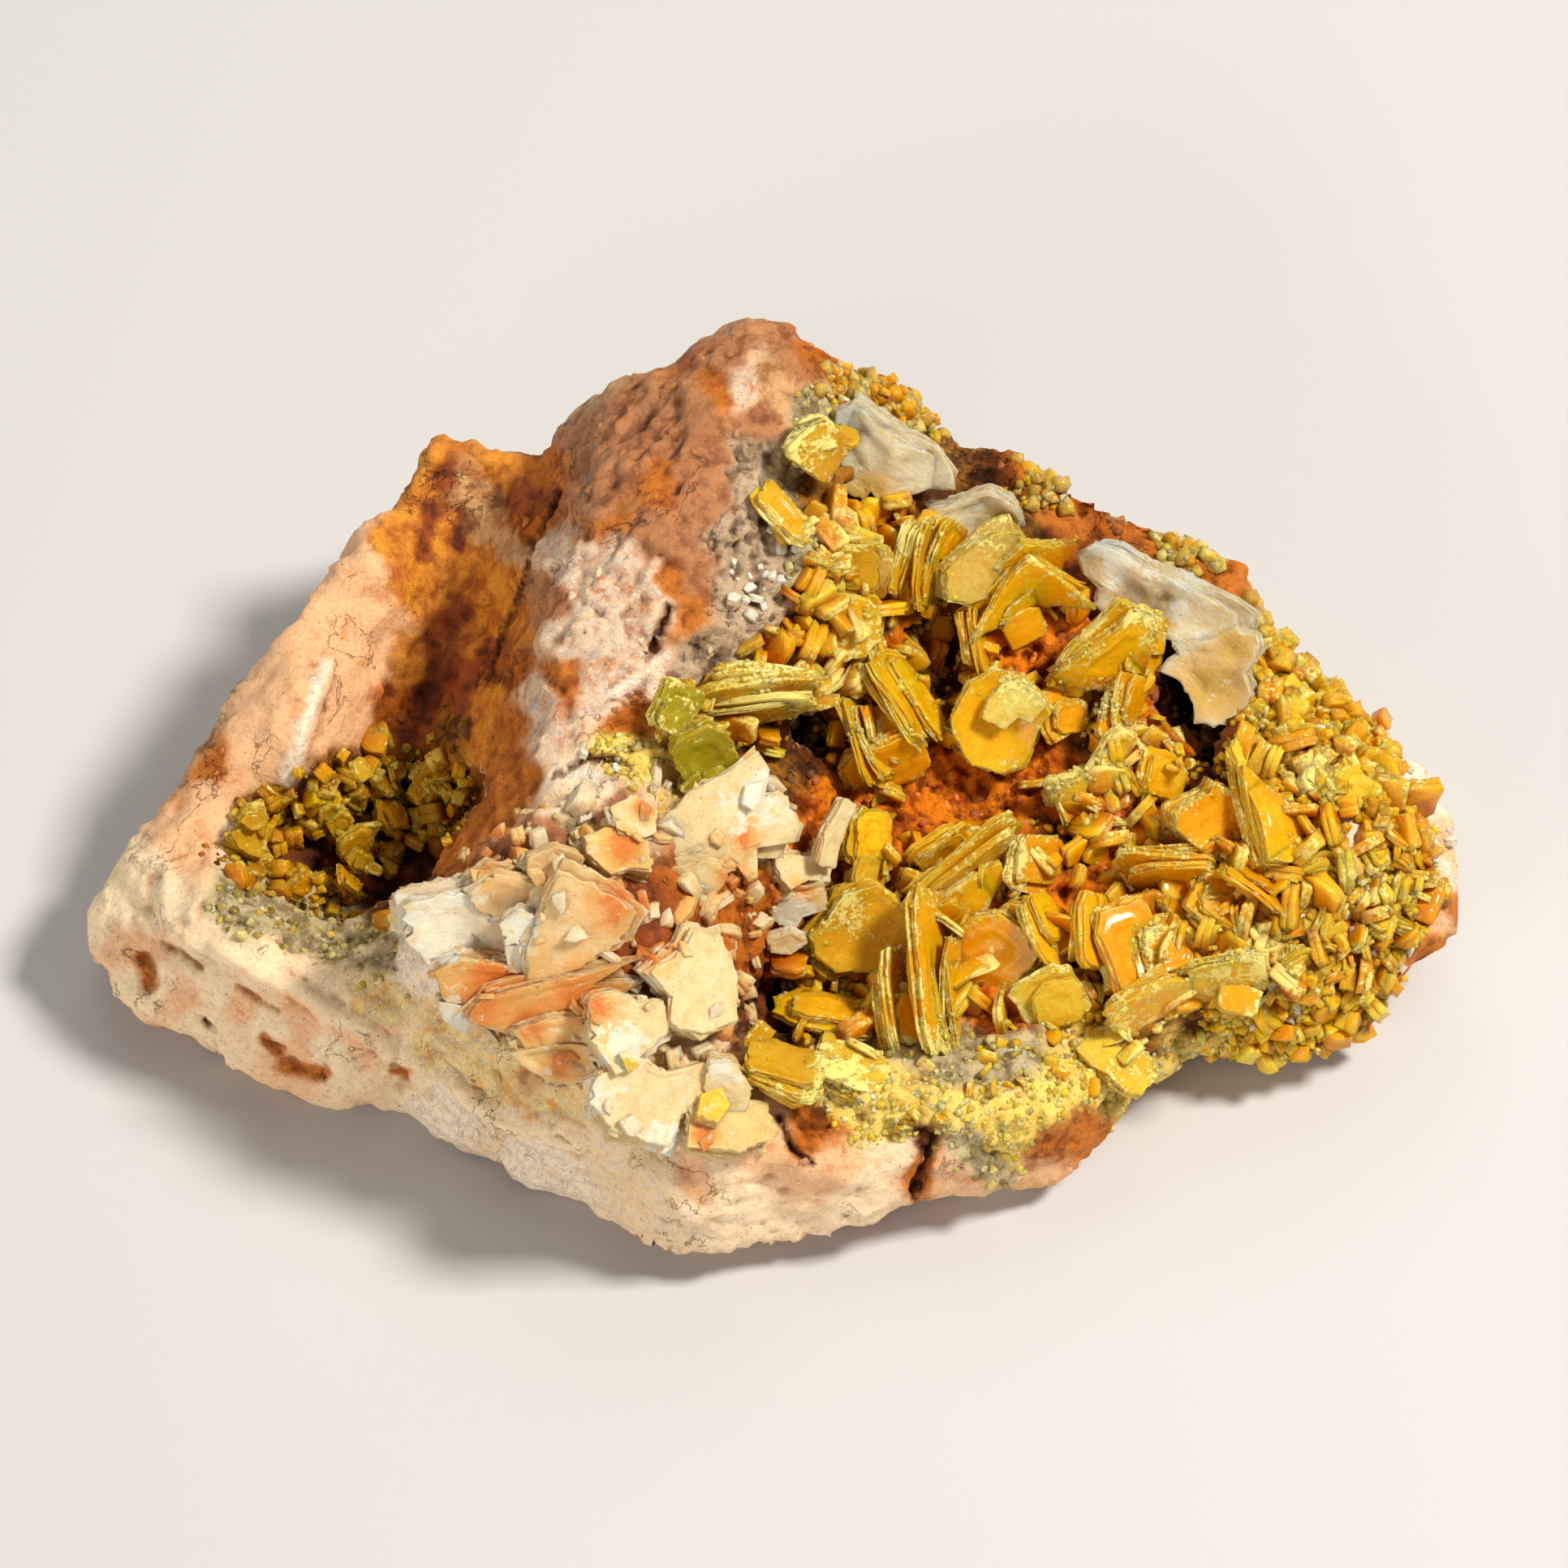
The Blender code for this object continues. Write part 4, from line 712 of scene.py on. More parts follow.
stone.set(Base_Color=colour, Roughness=rough, IOR=1.6, Specular_IOR_Level=stone.between(gloss, 0.1, 0.5, 0.12, 0.5))
fine = stone.bump(stone.noise(0.5, 7, 0.72), 0.22)
fine = stone.bump(cracks, -0.12, 1.0, fine)
fine = stone.bump(veins, 0.06, 1.0, fine)
stone.set(Normal=stone.bump(mottle, 0.06, 0.9, fine))
rock.data.materials.clear()
rock.data.materials.append(stone.material)
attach(rock, "root")
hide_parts("matrix_rock")
rock.data.calc_loop_triangles()
print("the rock has", len(rock.data.loop_triangles), "triangles, and its finish", len(stone.tree.nodes), "nodes")

# %% [markdown]
# ## Books of thin sheets
# Wulfenite and barite both grow here as thin sheets stacked like the pages of a book. One template serves them
# all: a disc spun from a profile whose side has grooves between its pages, with pairs of close rings on its faces
# where a growth step will rise. Each book is a copy of it, pulled out to its own outline, page by page. Copies are
# gathered as arrays, which is quick for thousands of them.

# %% Templates
Template = namedtuple("Template", "points share corners starts spokes")


def spun(profile, spokes):
    """The profile, (radius, height) from the top's middle to the bottom's, spun about Z into a closed template."""
    bm = bmesh.new()
    verts = [bm.verts.new((r, 0, z)) for r, z in profile]
    edges = [bm.edges.new(pair) for pair in zip(verts, verts[1:])]
    bmesh.ops.spin(bm, geom=verts + edges, cent=(0, 0, 0), axis=(0, 0, 1), angle=TURN, steps=spokes, use_merge=True)
    bmesh.ops.remove_doubles(bm, verts=bm.verts, dist=1e-5)
    bmesh.ops.recalc_face_normals(bm, faces=bm.faces)
    bm.verts.index_update()
    points = np.array([v.co for v in bm.verts], float)
    # Blender may list the faces in another order on another run, so they are sorted, each from its lowest corner.
    faces = [[v.index for v in f.verts] for f in bm.faces]
    faces = sorted(face[face.index(min(face)):] + face[:face.index(min(face))] for face in faces)
    starts = np.cumsum([0] + [len(face) for face in faces])[:-1]
    bm.free()
    return Template(points, np.hypot(*points.T[:2]), np.concatenate(faces), starts, spokes)


PAGES = [(1, 1), (1, 0.6), (0.95, 0.54), (0.95, 0.48), (1, 0.42), (1, 0.06), (0.94, 0), (1, -0.06), (1, -0.5),
         (0.95, -0.56), (1, -0.62), (1, -1)]
TOP = [(radius, 1) for radius in (0, 0.28, 0.45, 0.49, 0.66, 0.70, 0.86, 0.95)]
BOTTOM = [(radius, -1) for radius in (0.92, 0.6, 0.3, 0)]
BOOK, DRAWN_BOOK = spun(TOP + PAGES + BOTTOM, 28), spun(TOP + PAGES + BOTTOM, 44)
TABLET = spun([
    (0, 1), (0.5, 1), (0.9, 1), (1, 0.85), (1, 0.1), (0.92, 0), (1, -0.1), (1, -0.9), (0.6, -1), (0, -1)], 12)
GRAIN = spun([(0, 1), (0.75, 1), (1, 0.5), (1, -0.6), (0, -1)], 6)
LUMP = spun([(0, 1), (0.7, 0.75), (1, 0.1), (0.75, -0.6), (0, -1)], 6)
SUGAR = spun([(0, 1), (1, 0.3), (0.8, -1), (0, -1)], 5)
print("faces in a book, a tablet and a grain:", len(BOOK.starts), len(TABLET.starts), len(GRAIN.starts))


# %% Gathering copies
class Growth:
    """Copies of templates, gathered into the arrays of one mesh."""

    def __init__(self):
        self.points, self.corners, self.starts, self.values = [], [], [], {}
        self.count = self.loops = 0

    def add(self, points, template, **values):
        """points holds one or more copies' points, in metres; each value is one for each point."""
        for _ in range(len(points) // len(template.points)):
            self.corners.append(template.corners + self.count)
            self.starts.append(template.starts + self.loops)
            self.count += len(template.points)
            self.loops += len(template.corners)
        self.points.append(points)
        for name, value in values.items():
            self.values.setdefault(name, []).append(value)

    def build(self, name, material, slot, replaces=(), painted=None):
        """The mesh of all copies. painted gives more values, each a function of places on the display face."""
        points, corners, starts = map(np.concatenate, (self.points, self.corners, self.starts))
        mesh = bpy.data.meshes.new(name)
        for part, field, values, each in ((mesh.vertices, "co", boxed(points), 3),
                                          (mesh.loops, "vertex_index", corners.astype(np.int32), 1),
                                          (mesh.polygons, "loop_start", starts.astype(np.int32), 1)):
            part.add(len(values) // each)
            part.foreach_set(field, values)
        mesh.update(calc_edges=True)
        mesh.validate()
        obj = bpy.data.objects.new(name, mesh)
        bpy.context.scene.collection.objects.link(obj)
        for key, value in self.values.items():
            paint(obj, key, np.concatenate(value))
        for key, spots in (painted or {}).items():
            paint(obj, key, near_spots(to_face(points), spots))
        mesh.materials.append(material)
        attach(obj, "root")
        if replaces:
            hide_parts(*replaces)
        mesh.calc_loop_triangles()
        print(name, "has", len(mesh.loop_triangles), "triangles")
        return obj


def near_spots(places, spots):
    """1 at the heart of each spot (x, y, radius) on the display face, falling to 0 at its edge."""
    value = np.zeros(len(places))
    for x, y, radius in spots:
        value = np.maximum(value, 1 - np.hypot(places[:, 0] - x, places[:, 1] - y) / radius)
    return value


print("a spot's value halfway out is", near_spots(np.array([(0.5, 0, 0)]), [(0, 0, 1)])[0])


# %% Outlines
def tablet_outline(rng):
    """A square with its corners cut off, never quite evenly."""
    corners = []
    for turn in range(4):
        cut, inset = rng.uniform(0.12, 0.5), rng.uniform(-0.06, 0.06)
        c, s = math.cos(turn * math.pi / 2), math.sin(turn * math.pi / 2)
        for x, y in ((1 + inset, -0.02 + cut * rng.uniform(-0.6, 0.4)), (1 + inset, 1 - cut), (1 - cut, 1.0)):
            corners.append((x * c - y * s, x * s + y * c))
    return np.array(corners)


def chip_outline(rng):
    """A broken chip: five or six corners at uneven distances."""
    corners = rng.choice((5, 6))
    bearings = [(number + rng.uniform(-0.3, 0.3)) / corners * TURN for number in range(corners)]
    return np.array([(r * math.cos(b), r * math.sin(b)) for b in bearings for r in [rng.uniform(0.75, 1.2)]])


def bearings_of(corners):
    return np.arctan2(corners[:, 1], corners[:, 0]) % TURN


def ray_length(corners, angles):
    """How far the outline lies from its middle in each direction."""
    corners = corners[np.argsort(bearings_of(corners))]
    index = np.searchsorted(bearings_of(corners), angles % TURN, side="right") - 1
    start, across = corners[index], corners[(index + 1) % len(corners)] - corners[index]
    ray = np.stack([np.cos(angles), np.sin(angles)], axis=1)
    return (start[:, 0] * across[:, 1] - start[:, 1] * across[:, 0]) / (
        ray[:, 0] * across[:, 1] - ray[:, 1] * across[:, 0])


print("a tablet's outline has", len(tablet_outline(random.Random(SEED))), "corners")


# %% Shaping a book
def spokes_of(template, outline):
    """The spoke of each of the template's points, and the directions of the spokes, with the nearest one turned to
    each corner of the outline."""
    x, y = template.points.T[:2]
    spoke = np.round(np.arctan2(y, x) / TURN * template.spokes).astype(int) % template.spokes
    directions = np.arange(template.spokes) * TURN / template.spokes
    for bearing in bearings_of(outline):
        directions[round(bearing / TURN * template.spokes) % template.spokes] = bearing
    return spoke, directions


def flat_points(directions, spoke, reach):
    return np.stack([np.cos(directions[spoke]), np.sin(directions[spoke])], axis=1) * reach[:, None]


def pulled(template, outline):
    """The template with its rim pulled out to this outline."""
    spoke, directions = spokes_of(template, outline)
    flat = flat_points(directions, spoke, template.share * ray_length(outline, directions)[spoke])
    return template._replace(points=np.column_stack([flat, template.points[:, 2]]))


def jagged(rng, pages, spokes, depth):
    """Unevenness of each page's edge: fine teeth and a few square notches."""
    teeth = np.array([[rng.gauss(0, depth) for _ in range(spokes)] for _ in range(pages)])
    for page in range(pages):
        for _ in range(rng.randrange(3)):
            first = rng.randrange(spokes)
            teeth[page, np.arange(first, first + rng.randrange(1, 4)) % spokes] -= rng.uniform(1.5, 4) * depth
    return teeth


def shape_book(template, outline, size, rng, jag=0.03, step=0.04, warp=0.05, shift=0.03, bend=0.1):
    """The template pulled out to a book of this length, breadth and thickness in millimetres, flat about Z.
    It gives the points, and how near each lies to the rim."""
    side, share = template.points[:, 2], template.share
    spoke, directions = spokes_of(template, outline)
    page = np.digitize(-side, (-0.5, -0.03, 0.53))
    radius = ray_length(outline, directions)[spoke]
    radius *= 1 + jagged(rng, 4, template.spokes, jag)[page, spoke] * ease(share, 0.5, 1.0)
    radius *= np.array([1 + rng.gauss(0, shift) for _ in range(4)])[page]
    flat = flat_points(directions, spoke, share * radius)
    flat += (1 - share)[:, None] * np.array([rng.gauss(0, 0.16), rng.gauss(0, 0.16)])
    flat += np.array([[rng.gauss(0, shift), rng.gauss(0, shift)] for _ in range(4)])[page]
    # Growth steps rise between the template's pairs of close rings, above and below.
    rise = [rng.uniform(-step, 0.6 * step) for _ in range(4)]
    rings = (0, 0.45, 0.49, 0.66, 0.70, 0.95)
    above, below = (np.interp(share, rings, (a, a, b, b, 0, 0)) for a, b in (rise[:2], rise[2:]))
    curl = bend * rng.gauss(0, 1) * flat[:, 0] ** 2 + 0.6 * bend * rng.gauss(0, 1) * flat[:, 1] ** 2
    flat *= np.array(size[:2]) / 2
    z = side * size[2] / 2 + np.where(side > 0.9, above, 0) - np.where(side < -0.9, below, 0) + curl
    seat = np.array([rng.uniform(0, 99) for _ in range(3)])
    z += warp * layered_noise(np.column_stack([flat, 0 * z]) + seat, 1.6, 2, 0.6, seed=3)
    return np.column_stack([flat, z]), np.where(np.abs(side) < 0.9, 1.0, share)


rng = random.Random(SEED)
TABLETS = [pulled(TABLET, tablet_outline(rng)) for _ in range(6)]
CHIPS = [pulled(TABLET, chip_outline(rng)) for _ in range(6)]
print(len(TABLETS), "tablets and", len(CHIPS), "chips to copy")


# %% Placing a book
def frame_of(crystal):
    """Takes a book modelled flat at the origin, its long side along X, to the crystal's place on the face."""
    turn = Matrix.Rotation(math.radians(crystal.heading), 4, "Z")
    lean = Matrix.Rotation(math.radians(crystal.lean), 4, "X")
    return Matrix.Translation((crystal.x, crystal.y, crystal.z)) @ turn @ lean


def add_book(growth, template, matrix, outline, size, colour, rng, **shape):
    """One book, with the values its material reads."""
    points, rim = shape_book(template, outline, size, rng, **shape)
    to_place = np.array(matrix)
    on_face = points @ to_place[:3, :3].T + to_place[:3, 3]
    root = ease(matrix.translation.z - on_face[:, 2], -0.2, 0.45 * max(size) + 0.3)
    offset = np.array([rng.uniform(0, 50) for _ in range(3)])
    growth.add(
        to_world(on_face), template, body=np.tile(colour, (len(points), 1)), rim=rim, root=root,
        frost=np.full(len(points), rng.random()), place=(points + offset) * MM)


# %% [markdown]
# ## Wulfenite plates
# The tables give the middle of each large crystal on the face, its size, the heading of its long side and how far
# it leans up on edge. They are grouped by colour, since the honey ones turn amber in the deep of the hollow and
# olive at its rim. Small crystals crowd round the foot of each.

# %% Wulfenite tables
Crystal = namedtuple("Crystal", "x y z length breadth thickness heading lean")
WULFENITE = {
    "honey": [(6.9, 10.7, -6.1, 4.1, 3.5, 0.9, 76, 68), (6, 10.4, -6.1, 3.5, 3.1, 0.6, 80, 70),
        (7.7, 11.4, -6.7, 2.7, 2.7, 0.6, 72, 60), (11.6, 8.7, -7.3, 4.3, 2.7, 0.7, 28, 55),
        (9.3, 6.9, -6.7, 3.1, 2.4, 0.7, 100, 72), (5.8, 4.1, -5.4, 4.9, 3.3, 0.9, 125, 62),
        (6.4, 4.5, -6.1, 4.3, 2.4, 0.7, 118, 70), (3.8, 2.1, -4.5, 4.1, 2.7, 0.7, 113, 65),
        (17.5, 6.9, -7, 3.1, 2.5, 0.8, 80, 48), (18.3, 0.5, -6.8, 2, 2, 1.2, 80, 30),
        (3.9, -2.7, -4, 2.7, 2.4, 1, 85, 35), (7.1, -10.3, -1.7, 8, 3.9, 0.9, 100, 68),
        (8, -10.7, -2.3, 5.9, 3.1, 0.7, 100, 74), (5.1, -10.9, -1.8, 4.8, 3.1, 0.8, 100, 78),
        (2.3, -11.1, -2, 4.4, 2.7, 1, 168, 55), (8.5, -4.1, -3.9, 6.5, 3.5, 0.9, 38, 72),
        (7.5, -3.1, -4.5, 2.9, 2.4, 0.7, 35, 70), (12.5, -6.7, -3.1, 3.5, 2.7, 0.9, 118, 58),
        (14.9, -7.2, -3.1, 3.6, 2.5, 0.9, 99, 62), (21.3, -9.3, -2.6, 4.4, 3.1, 1, 10, 48),
        (17.3, -10.7, -2.4, 4.4, 2.7, 1, 34, 62)],
    "amber": [(13.6, 3.4, -7.2, 2.4, 3.1, 0.9, 100, 35), (5, 0.9, -5.3, 4.1, 2.9, 0.9, 14, 45),
        (16.7, 3.8, -6.7, 3.1, 2, 0.9, 75, 55), (6.4, -11.7, -1.9, 3.5, 3.5, 0.8, 95, 40),
        (12, -3.9, -4.7, 2.4, 2.7, 0.9, 70, 32), (16.7, -7.6, -3, 4.4, 3.1, 1, 114, 34),
        (18.6, -8.1, -3.2, 2.7, 3.1, 0.9, 110, 28), (21.3, -5.8, -3.5, 2.7, 2.5, 0.9, 140, 30),
        (22.6, -4.7, -2.9, 3.1, 2.2, 0.8, 144, 68), (18.7, -4.2, -4.8, 4.5, 3.1, 0.9, 3, 58),
        (11.6, -7.8, -3.8, 3.1, 2.7, 0.8, -55, 40)],
    "straw": [(15.8, 1.4, -6.4, 3.1, 2, 0.9, 60, 50), (14.1, -0.2, -6.1, 2.4, 1.8, 0.9, 20, 40),
        (13.1, -10.6, -2.6, 3.1, 3.1, 1.1, 20, 28), (27.4, 0, -4.8, 2.2, 2, 1, 60, 25),
        (22.5, 1, -5, 2.7, 2.4, 0.9, 130, 45), (25.9, -4, -3.8, 1.8, 1.5, 0.8, 20, 50),
        (28.6, -3.4, -4.7, 1.7, 1.6, 0.7, 110, 40), (26.3, -6.9, -4.1, 1.9, 1.5, 0.8, 70, 55),
        (28.9, -6.7, -5.2, 1.6, 1.4, 0.8, 150, 35), (24.9, -8.8, -3.7, 2, 1.5, 0.8, 40, 50),
        (30.3, -4.9, -5.6, 1.5, 1.4, 0.7, 80, 45), (25.4, 2.1, -5.8, 1.7, 1.5, 0.8, 10, 45),
        (29.6, -1.2, -5.6, 1.6, 1.4, 0.7, 130, 50), (3.5, -13.8, 0.1, 4.3, 2.7, 1, 155, 40),
        (16, -13.5, -3, 3.5, 2.4, 1, 150, 35), (3.8, -4.9, -4.1, 2.4, 2.4, 0.8, 80, 55)],
    "olive": [(3.5, 10.8, -4.3, 3.3, 2.9, 1, -10, 25), (1.5, 16.5, -3.4, 2.4, 3.1, 1, 60, 40),
        (0.1, 12.9, -2.9, 3.3, 1.6, 0.9, 130, 45), (-0.2, -13.8, 2.8, 3.5, 2.4, 1.1, 155, 45),
        (-1.4, 4.7, -1.1, 6.5, 2.7, 1, 8, 62), (-1.6, 3.7, -1.4, 5.9, 2.4, 0.8, 4, 68)],
    "green": [(-4.2, 1.7, 0.7, 2.7, 2.5, 1.6, 20, 30), (-5.4, 3.7, 1.1, 2.4, 2.2, 1.4, 60, 30)],
}
WULFENITE = {hue: [Crystal(*row) for row in rows] for hue, rows in WULFENITE.items()}
HUES = {
    "honey": (255, 190, 10), "amber": (254, 174, 6), "straw": (254, 210, 66), "olive": (226, 174, 28),
    "green": (172, 160, 30), "orange": (230, 116, 8), "umber": (124, 64, 10), "frost": (252, 226, 134),
    "dull": (226, 192, 104), "ash": (204, 190, 140), "moss": (140, 130, 74), "shell": (252, 222, 166),
    "yellow_shell": (250, 212, 136), "fan": (252, 206, 144), "frosted": (252, 230, 196), "ochre": (248, 180, 92),
    "lemon": (250, 212, 50), "pale": (250, 232, 190), "glint": (255, 248, 232),
}
HUES = {hue: np.array(srgb(*colour)) for hue, colour in HUES.items()}
print(sum(map(len, WULFENITE.values())), "large wulfenite crystals")


# %% Growing the large crystals
OVERGROWN = 1.1  # how much thicker than its table says a stack of books is


def grow_crystal(growth, crystal, colour, rng, books, fan=5.0, spread=0.07, outline=tablet_outline):
    """Books stacked through the crystal's thickness, each turned, shifted and sized a little differently."""
    place = frame_of(crystal)
    low = -crystal.thickness * OVERGROWN / 2
    for number in range(books):
        own = crystal.thickness * OVERGROWN / books
        size = 1.04 if number == books // 2 else rng.uniform(0.62, 1.0)
        tilt = [math.radians(rng.gauss(0, fan)) for _ in range(3)]
        shift = (rng.gauss(0, spread) * crystal.length, rng.gauss(0, spread) * crystal.breadth, low + own / 2)
        offset = Matrix.Translation(shift) @ Matrix.Rotation(1.5 * tilt[0], 4, "Z")
        offset = offset @ Matrix.Rotation(0.7 * tilt[1], 4, "X") @ Matrix.Rotation(0.7 * tilt[2], 4, "Y")
        add_book(
            growth, BOOK, place @ offset, outline(rng),
            (crystal.length * size, crystal.breadth * size, own * rng.uniform(0.9, 1.3)),
            colour * rng.uniform(0.88, 1.1), rng)
        low += own


def grow_satellites(growth, crystal, colour, rng, count):
    """Small tablets round the crystal's foot, at all angles."""
    place = frame_of(crystal)
    for _ in range(count):
        spot = place @ Vector((
            rng.uniform(-0.5, 0.5) * crystal.length, -rng.uniform(0.1, 0.5) * crystal.breadth,
            rng.gauss(0, 0.7) * crystal.thickness))
        length = rng.uniform(0.24, 0.5) * crystal.length
        small = Crystal(*spot, length, length * rng.uniform(0.6, 0.95), rng.uniform(0.22, 0.4),
                        rng.uniform(0, 360), rng.uniform(20, 85))
        add_book(
            growth, TABLET, frame_of(small), tablet_outline(rng), small[3:6], colour * rng.uniform(0.85, 1.12), rng,
            jag=0.05, warp=0.02)


DIVIDE = -2  # how far up the face the upper plates begin: one piece of them all would be too heavy
plates = {"upper": Growth(), "lower": Growth()}


def plates_at(y):
    return plates["upper" if y > DIVIDE else "lower"]


satellites = Growth()
rng = random.Random(SEED)
for hue, crystals in WULFENITE.items():
    for crystal in crystals:
        grow_crystal(plates_at(crystal.y), crystal, HUES[hue], rng, rng.choice((2, 3, 3)))
        grow_satellites(satellites, crystal, HUES[rng.choice((hue, hue, "honey", "amber"))], rng, rng.choice((2, 3, 4)))
print(len(satellites.points), "satellites round their feet")

# %% [markdown]
# ## Crystals drawn one by one
# The crystals that give the specimen its character have outlines of their own, notched and broken. Each outline
# here is drawn as it looks from straight out of the face, and is laid back onto the plane that the crystal lies in.

# %% Growing a drawn crystal
Drawn = namedtuple("Drawn", "hue z heading lean thickness layers outline")


def grow_drawn(growth, drawn, rng, spread=0.05, widen=0.05, **shape):
    """A book whose outline is given as it looks from straight out of the face. It lies on a plane through the
    outline's middle at the height z, and each layer under the top one reaches a little further or less far."""
    outline = np.array(drawn.outline)
    middle = outline.mean(axis=0)
    place = frame_of(Crystal(*middle, drawn.z, 0, 0, 0, drawn.heading, drawn.lean))
    turn = np.array(place)[:3, :3]
    across = outline - middle
    drop = -(across @ turn[:2, 2]) / turn[2, 2]
    flat = (np.column_stack([across, drop]) @ turn)[:, :2]
    reach = np.abs(flat).max()
    for layer in range(drawn.layers):
        size = 2 * (1 + (widen * rng.uniform(-0.6, 1.4) * layer))
        shift = (rng.gauss(0, spread) * reach * (layer > 0), rng.gauss(0, spread) * reach * (layer > 0))
        offset = Matrix.Translation((*shift, -layer * drawn.thickness))
        offset = offset @ Matrix.Rotation(math.radians(rng.gauss(0, 3) * (layer > 0)), 4, "Z")
        # Each layer under the top one is a little darker, as painted shade.
        add_book(
            growth, DRAWN_BOOK, place @ offset, flat, (size, size, drawn.thickness * rng.uniform(0.95, 1.15)),
            HUES[drawn.hue] * (rng.uniform(0.96, 1.04) - 0.05 * layer), rng,
            **{"jag": 0.018, "shift": 0.012, **shape})


# %% Drawn wulfenite
DRAWN_WULFENITE = [
    # the block in the hollow's middle, and the frosted growth on it
    Drawn("honey", -6, 8, 14, 0.65, 3, [(8.15, 3.35), (8.6, 4.3), (9.2, 5.2), (10.3, 5.6), (11.7, 5.2), (12.5, 4.4),
        (12.95, 3.8), (12.35, 2.7), (12, 1.75), (11.6, 1), (10.6, 0.7), (9.2, 1.2), (8.3, 2.55)]),
    Drawn("frost", -4.95, 8, 14, 0.4, 1, [(9.6, 3.3), (9.9, 4.2), (10.6, 4.9), (11.3, 5.1), (12.4, 4.5), (12.75, 3.8),
        (12, 3), (11.4, 3.3), (10.7, 2.7)]),
    # the tablet at the foot of the middle ridge
    Drawn("honey", -4, 10, 14, 0.5, 3, [(1.8, 9.05), (2.55, 9.4), (4.1, 9.05), (4.75, 8.3), (4.65, 7.05), (3.95, 6.3),
        (2.55, 6), (1.5, 6.9), (1.25, 8)]),
    # the greenish plate below the barite
    Drawn("olive", -3.2, 45, 20, 0.55, 3, [(1, -7.2), (1.95, -6.4), (2.7, -5.2), (4.4, -4.75), (5.4, -5.5),
        (6.4, -6.6), (6.75, -7.7), (5.65, -8.4), (4.4, -9.05), (2.4, -9.05), (1.5, -8.4)]),
    # the amber tablet to its right, and the sheet over it
    Drawn("amber", -3.4, -40, 20, 0.5, 3, [(7.85, -7.7), (9.2, -6.45), (10.45, -6.25), (11.7, -7.05), (12.5, -8.15),
        (12.05, -8.9), (10.6, -10.15), (9.2, -9.7), (8.3, -8.75)]),
    Drawn("honey", -4.2, 30, 32, 0.45, 2, [(6.6, -6.75), (7.2, -5.65), (8.6, -4.75), (10.45, -3.95), (10.6, -4.6),
        (10, -5.8), (9.5, -6.9), (8.3, -7.05), (7.05, -7.2)]),
    # the dull sheet, the wing and the wedge along the hollow's upper wall
    Drawn("dull", -5.9, 50, 32, 0.4, 3, [(7.75, 9.2), (7.85, 10.45), (8.95, 11.4), (10.15, 12.3), (11.25, 12.45),
        (11.9, 11.4), (11.4, 10.3), (10.45, 9.35), (8.95, 8.9)]),
    Drawn("honey", -6.5, 18, 50, 0.4, 3, [(8.6, 8.45), (9.85, 9.05), (11.1, 10.15), (12.05, 10.95), (13.4, 10.45),
        (14.8, 9.9), (14.2, 9.45), (12.6, 8.75), (11.4, 8.3), (9.85, 8.25)]),
    Drawn("honey", -6.1, 30, 45, 0.5, 3, [(13.25, 5.05), (14.5, 6.3), (16.05, 7.35), (17, 8.3), (18.25, 7.85),
        (18.1, 6.75), (17.45, 5.5), (16.05, 4.75), (14.2, 4.65)]),
    # the lobed pair at the right
    Drawn("amber", -4.6, 70, 22, 0.55, 3, [(18.85, -1.35), (20.55, -0.4), (20.85, 0.1), (21.95, -0.4), (22.25, -1.35),
        (22.7, -2.55), (22.25, -3.5), (21.5, -3.95), (19.9, -3), (19, -2.1)]),
    Drawn("honey", -3.2, 122, 40, 0.5, 3, [(22.25, 0.7), (22.85, 0.4), (23.8, -0.4), (25.05, -1.35), (25.35, -2.7),
        (24.45, -3.8), (23.5, -3.65), (23.2, -2.55), (22.85, -1.2)]),
]
for drawn in DRAWN_WULFENITE:
    grow_drawn(plates_at(drawn.outline[0][1]), drawn, rng)
print("books above and below the middle:", [len(growth.points) for growth in plates.values()])

# %% [markdown]
# ## The wulfenite finish
# These plates let light through like wax or thin horn: a glassy skin, some plain transmission, and light
# scattered inside. Seen edge on, their pages are pale lines, partly painted highlight. Their faces are golden
# and carry a pale frost of tiny growth steps in patches, and the foot of each is darkened by iron stain and
# painted shade.

# %% Wulfenite material
EDGE = (0.955, 0.99)  # the rim value at which the sides of a book begin, and is full


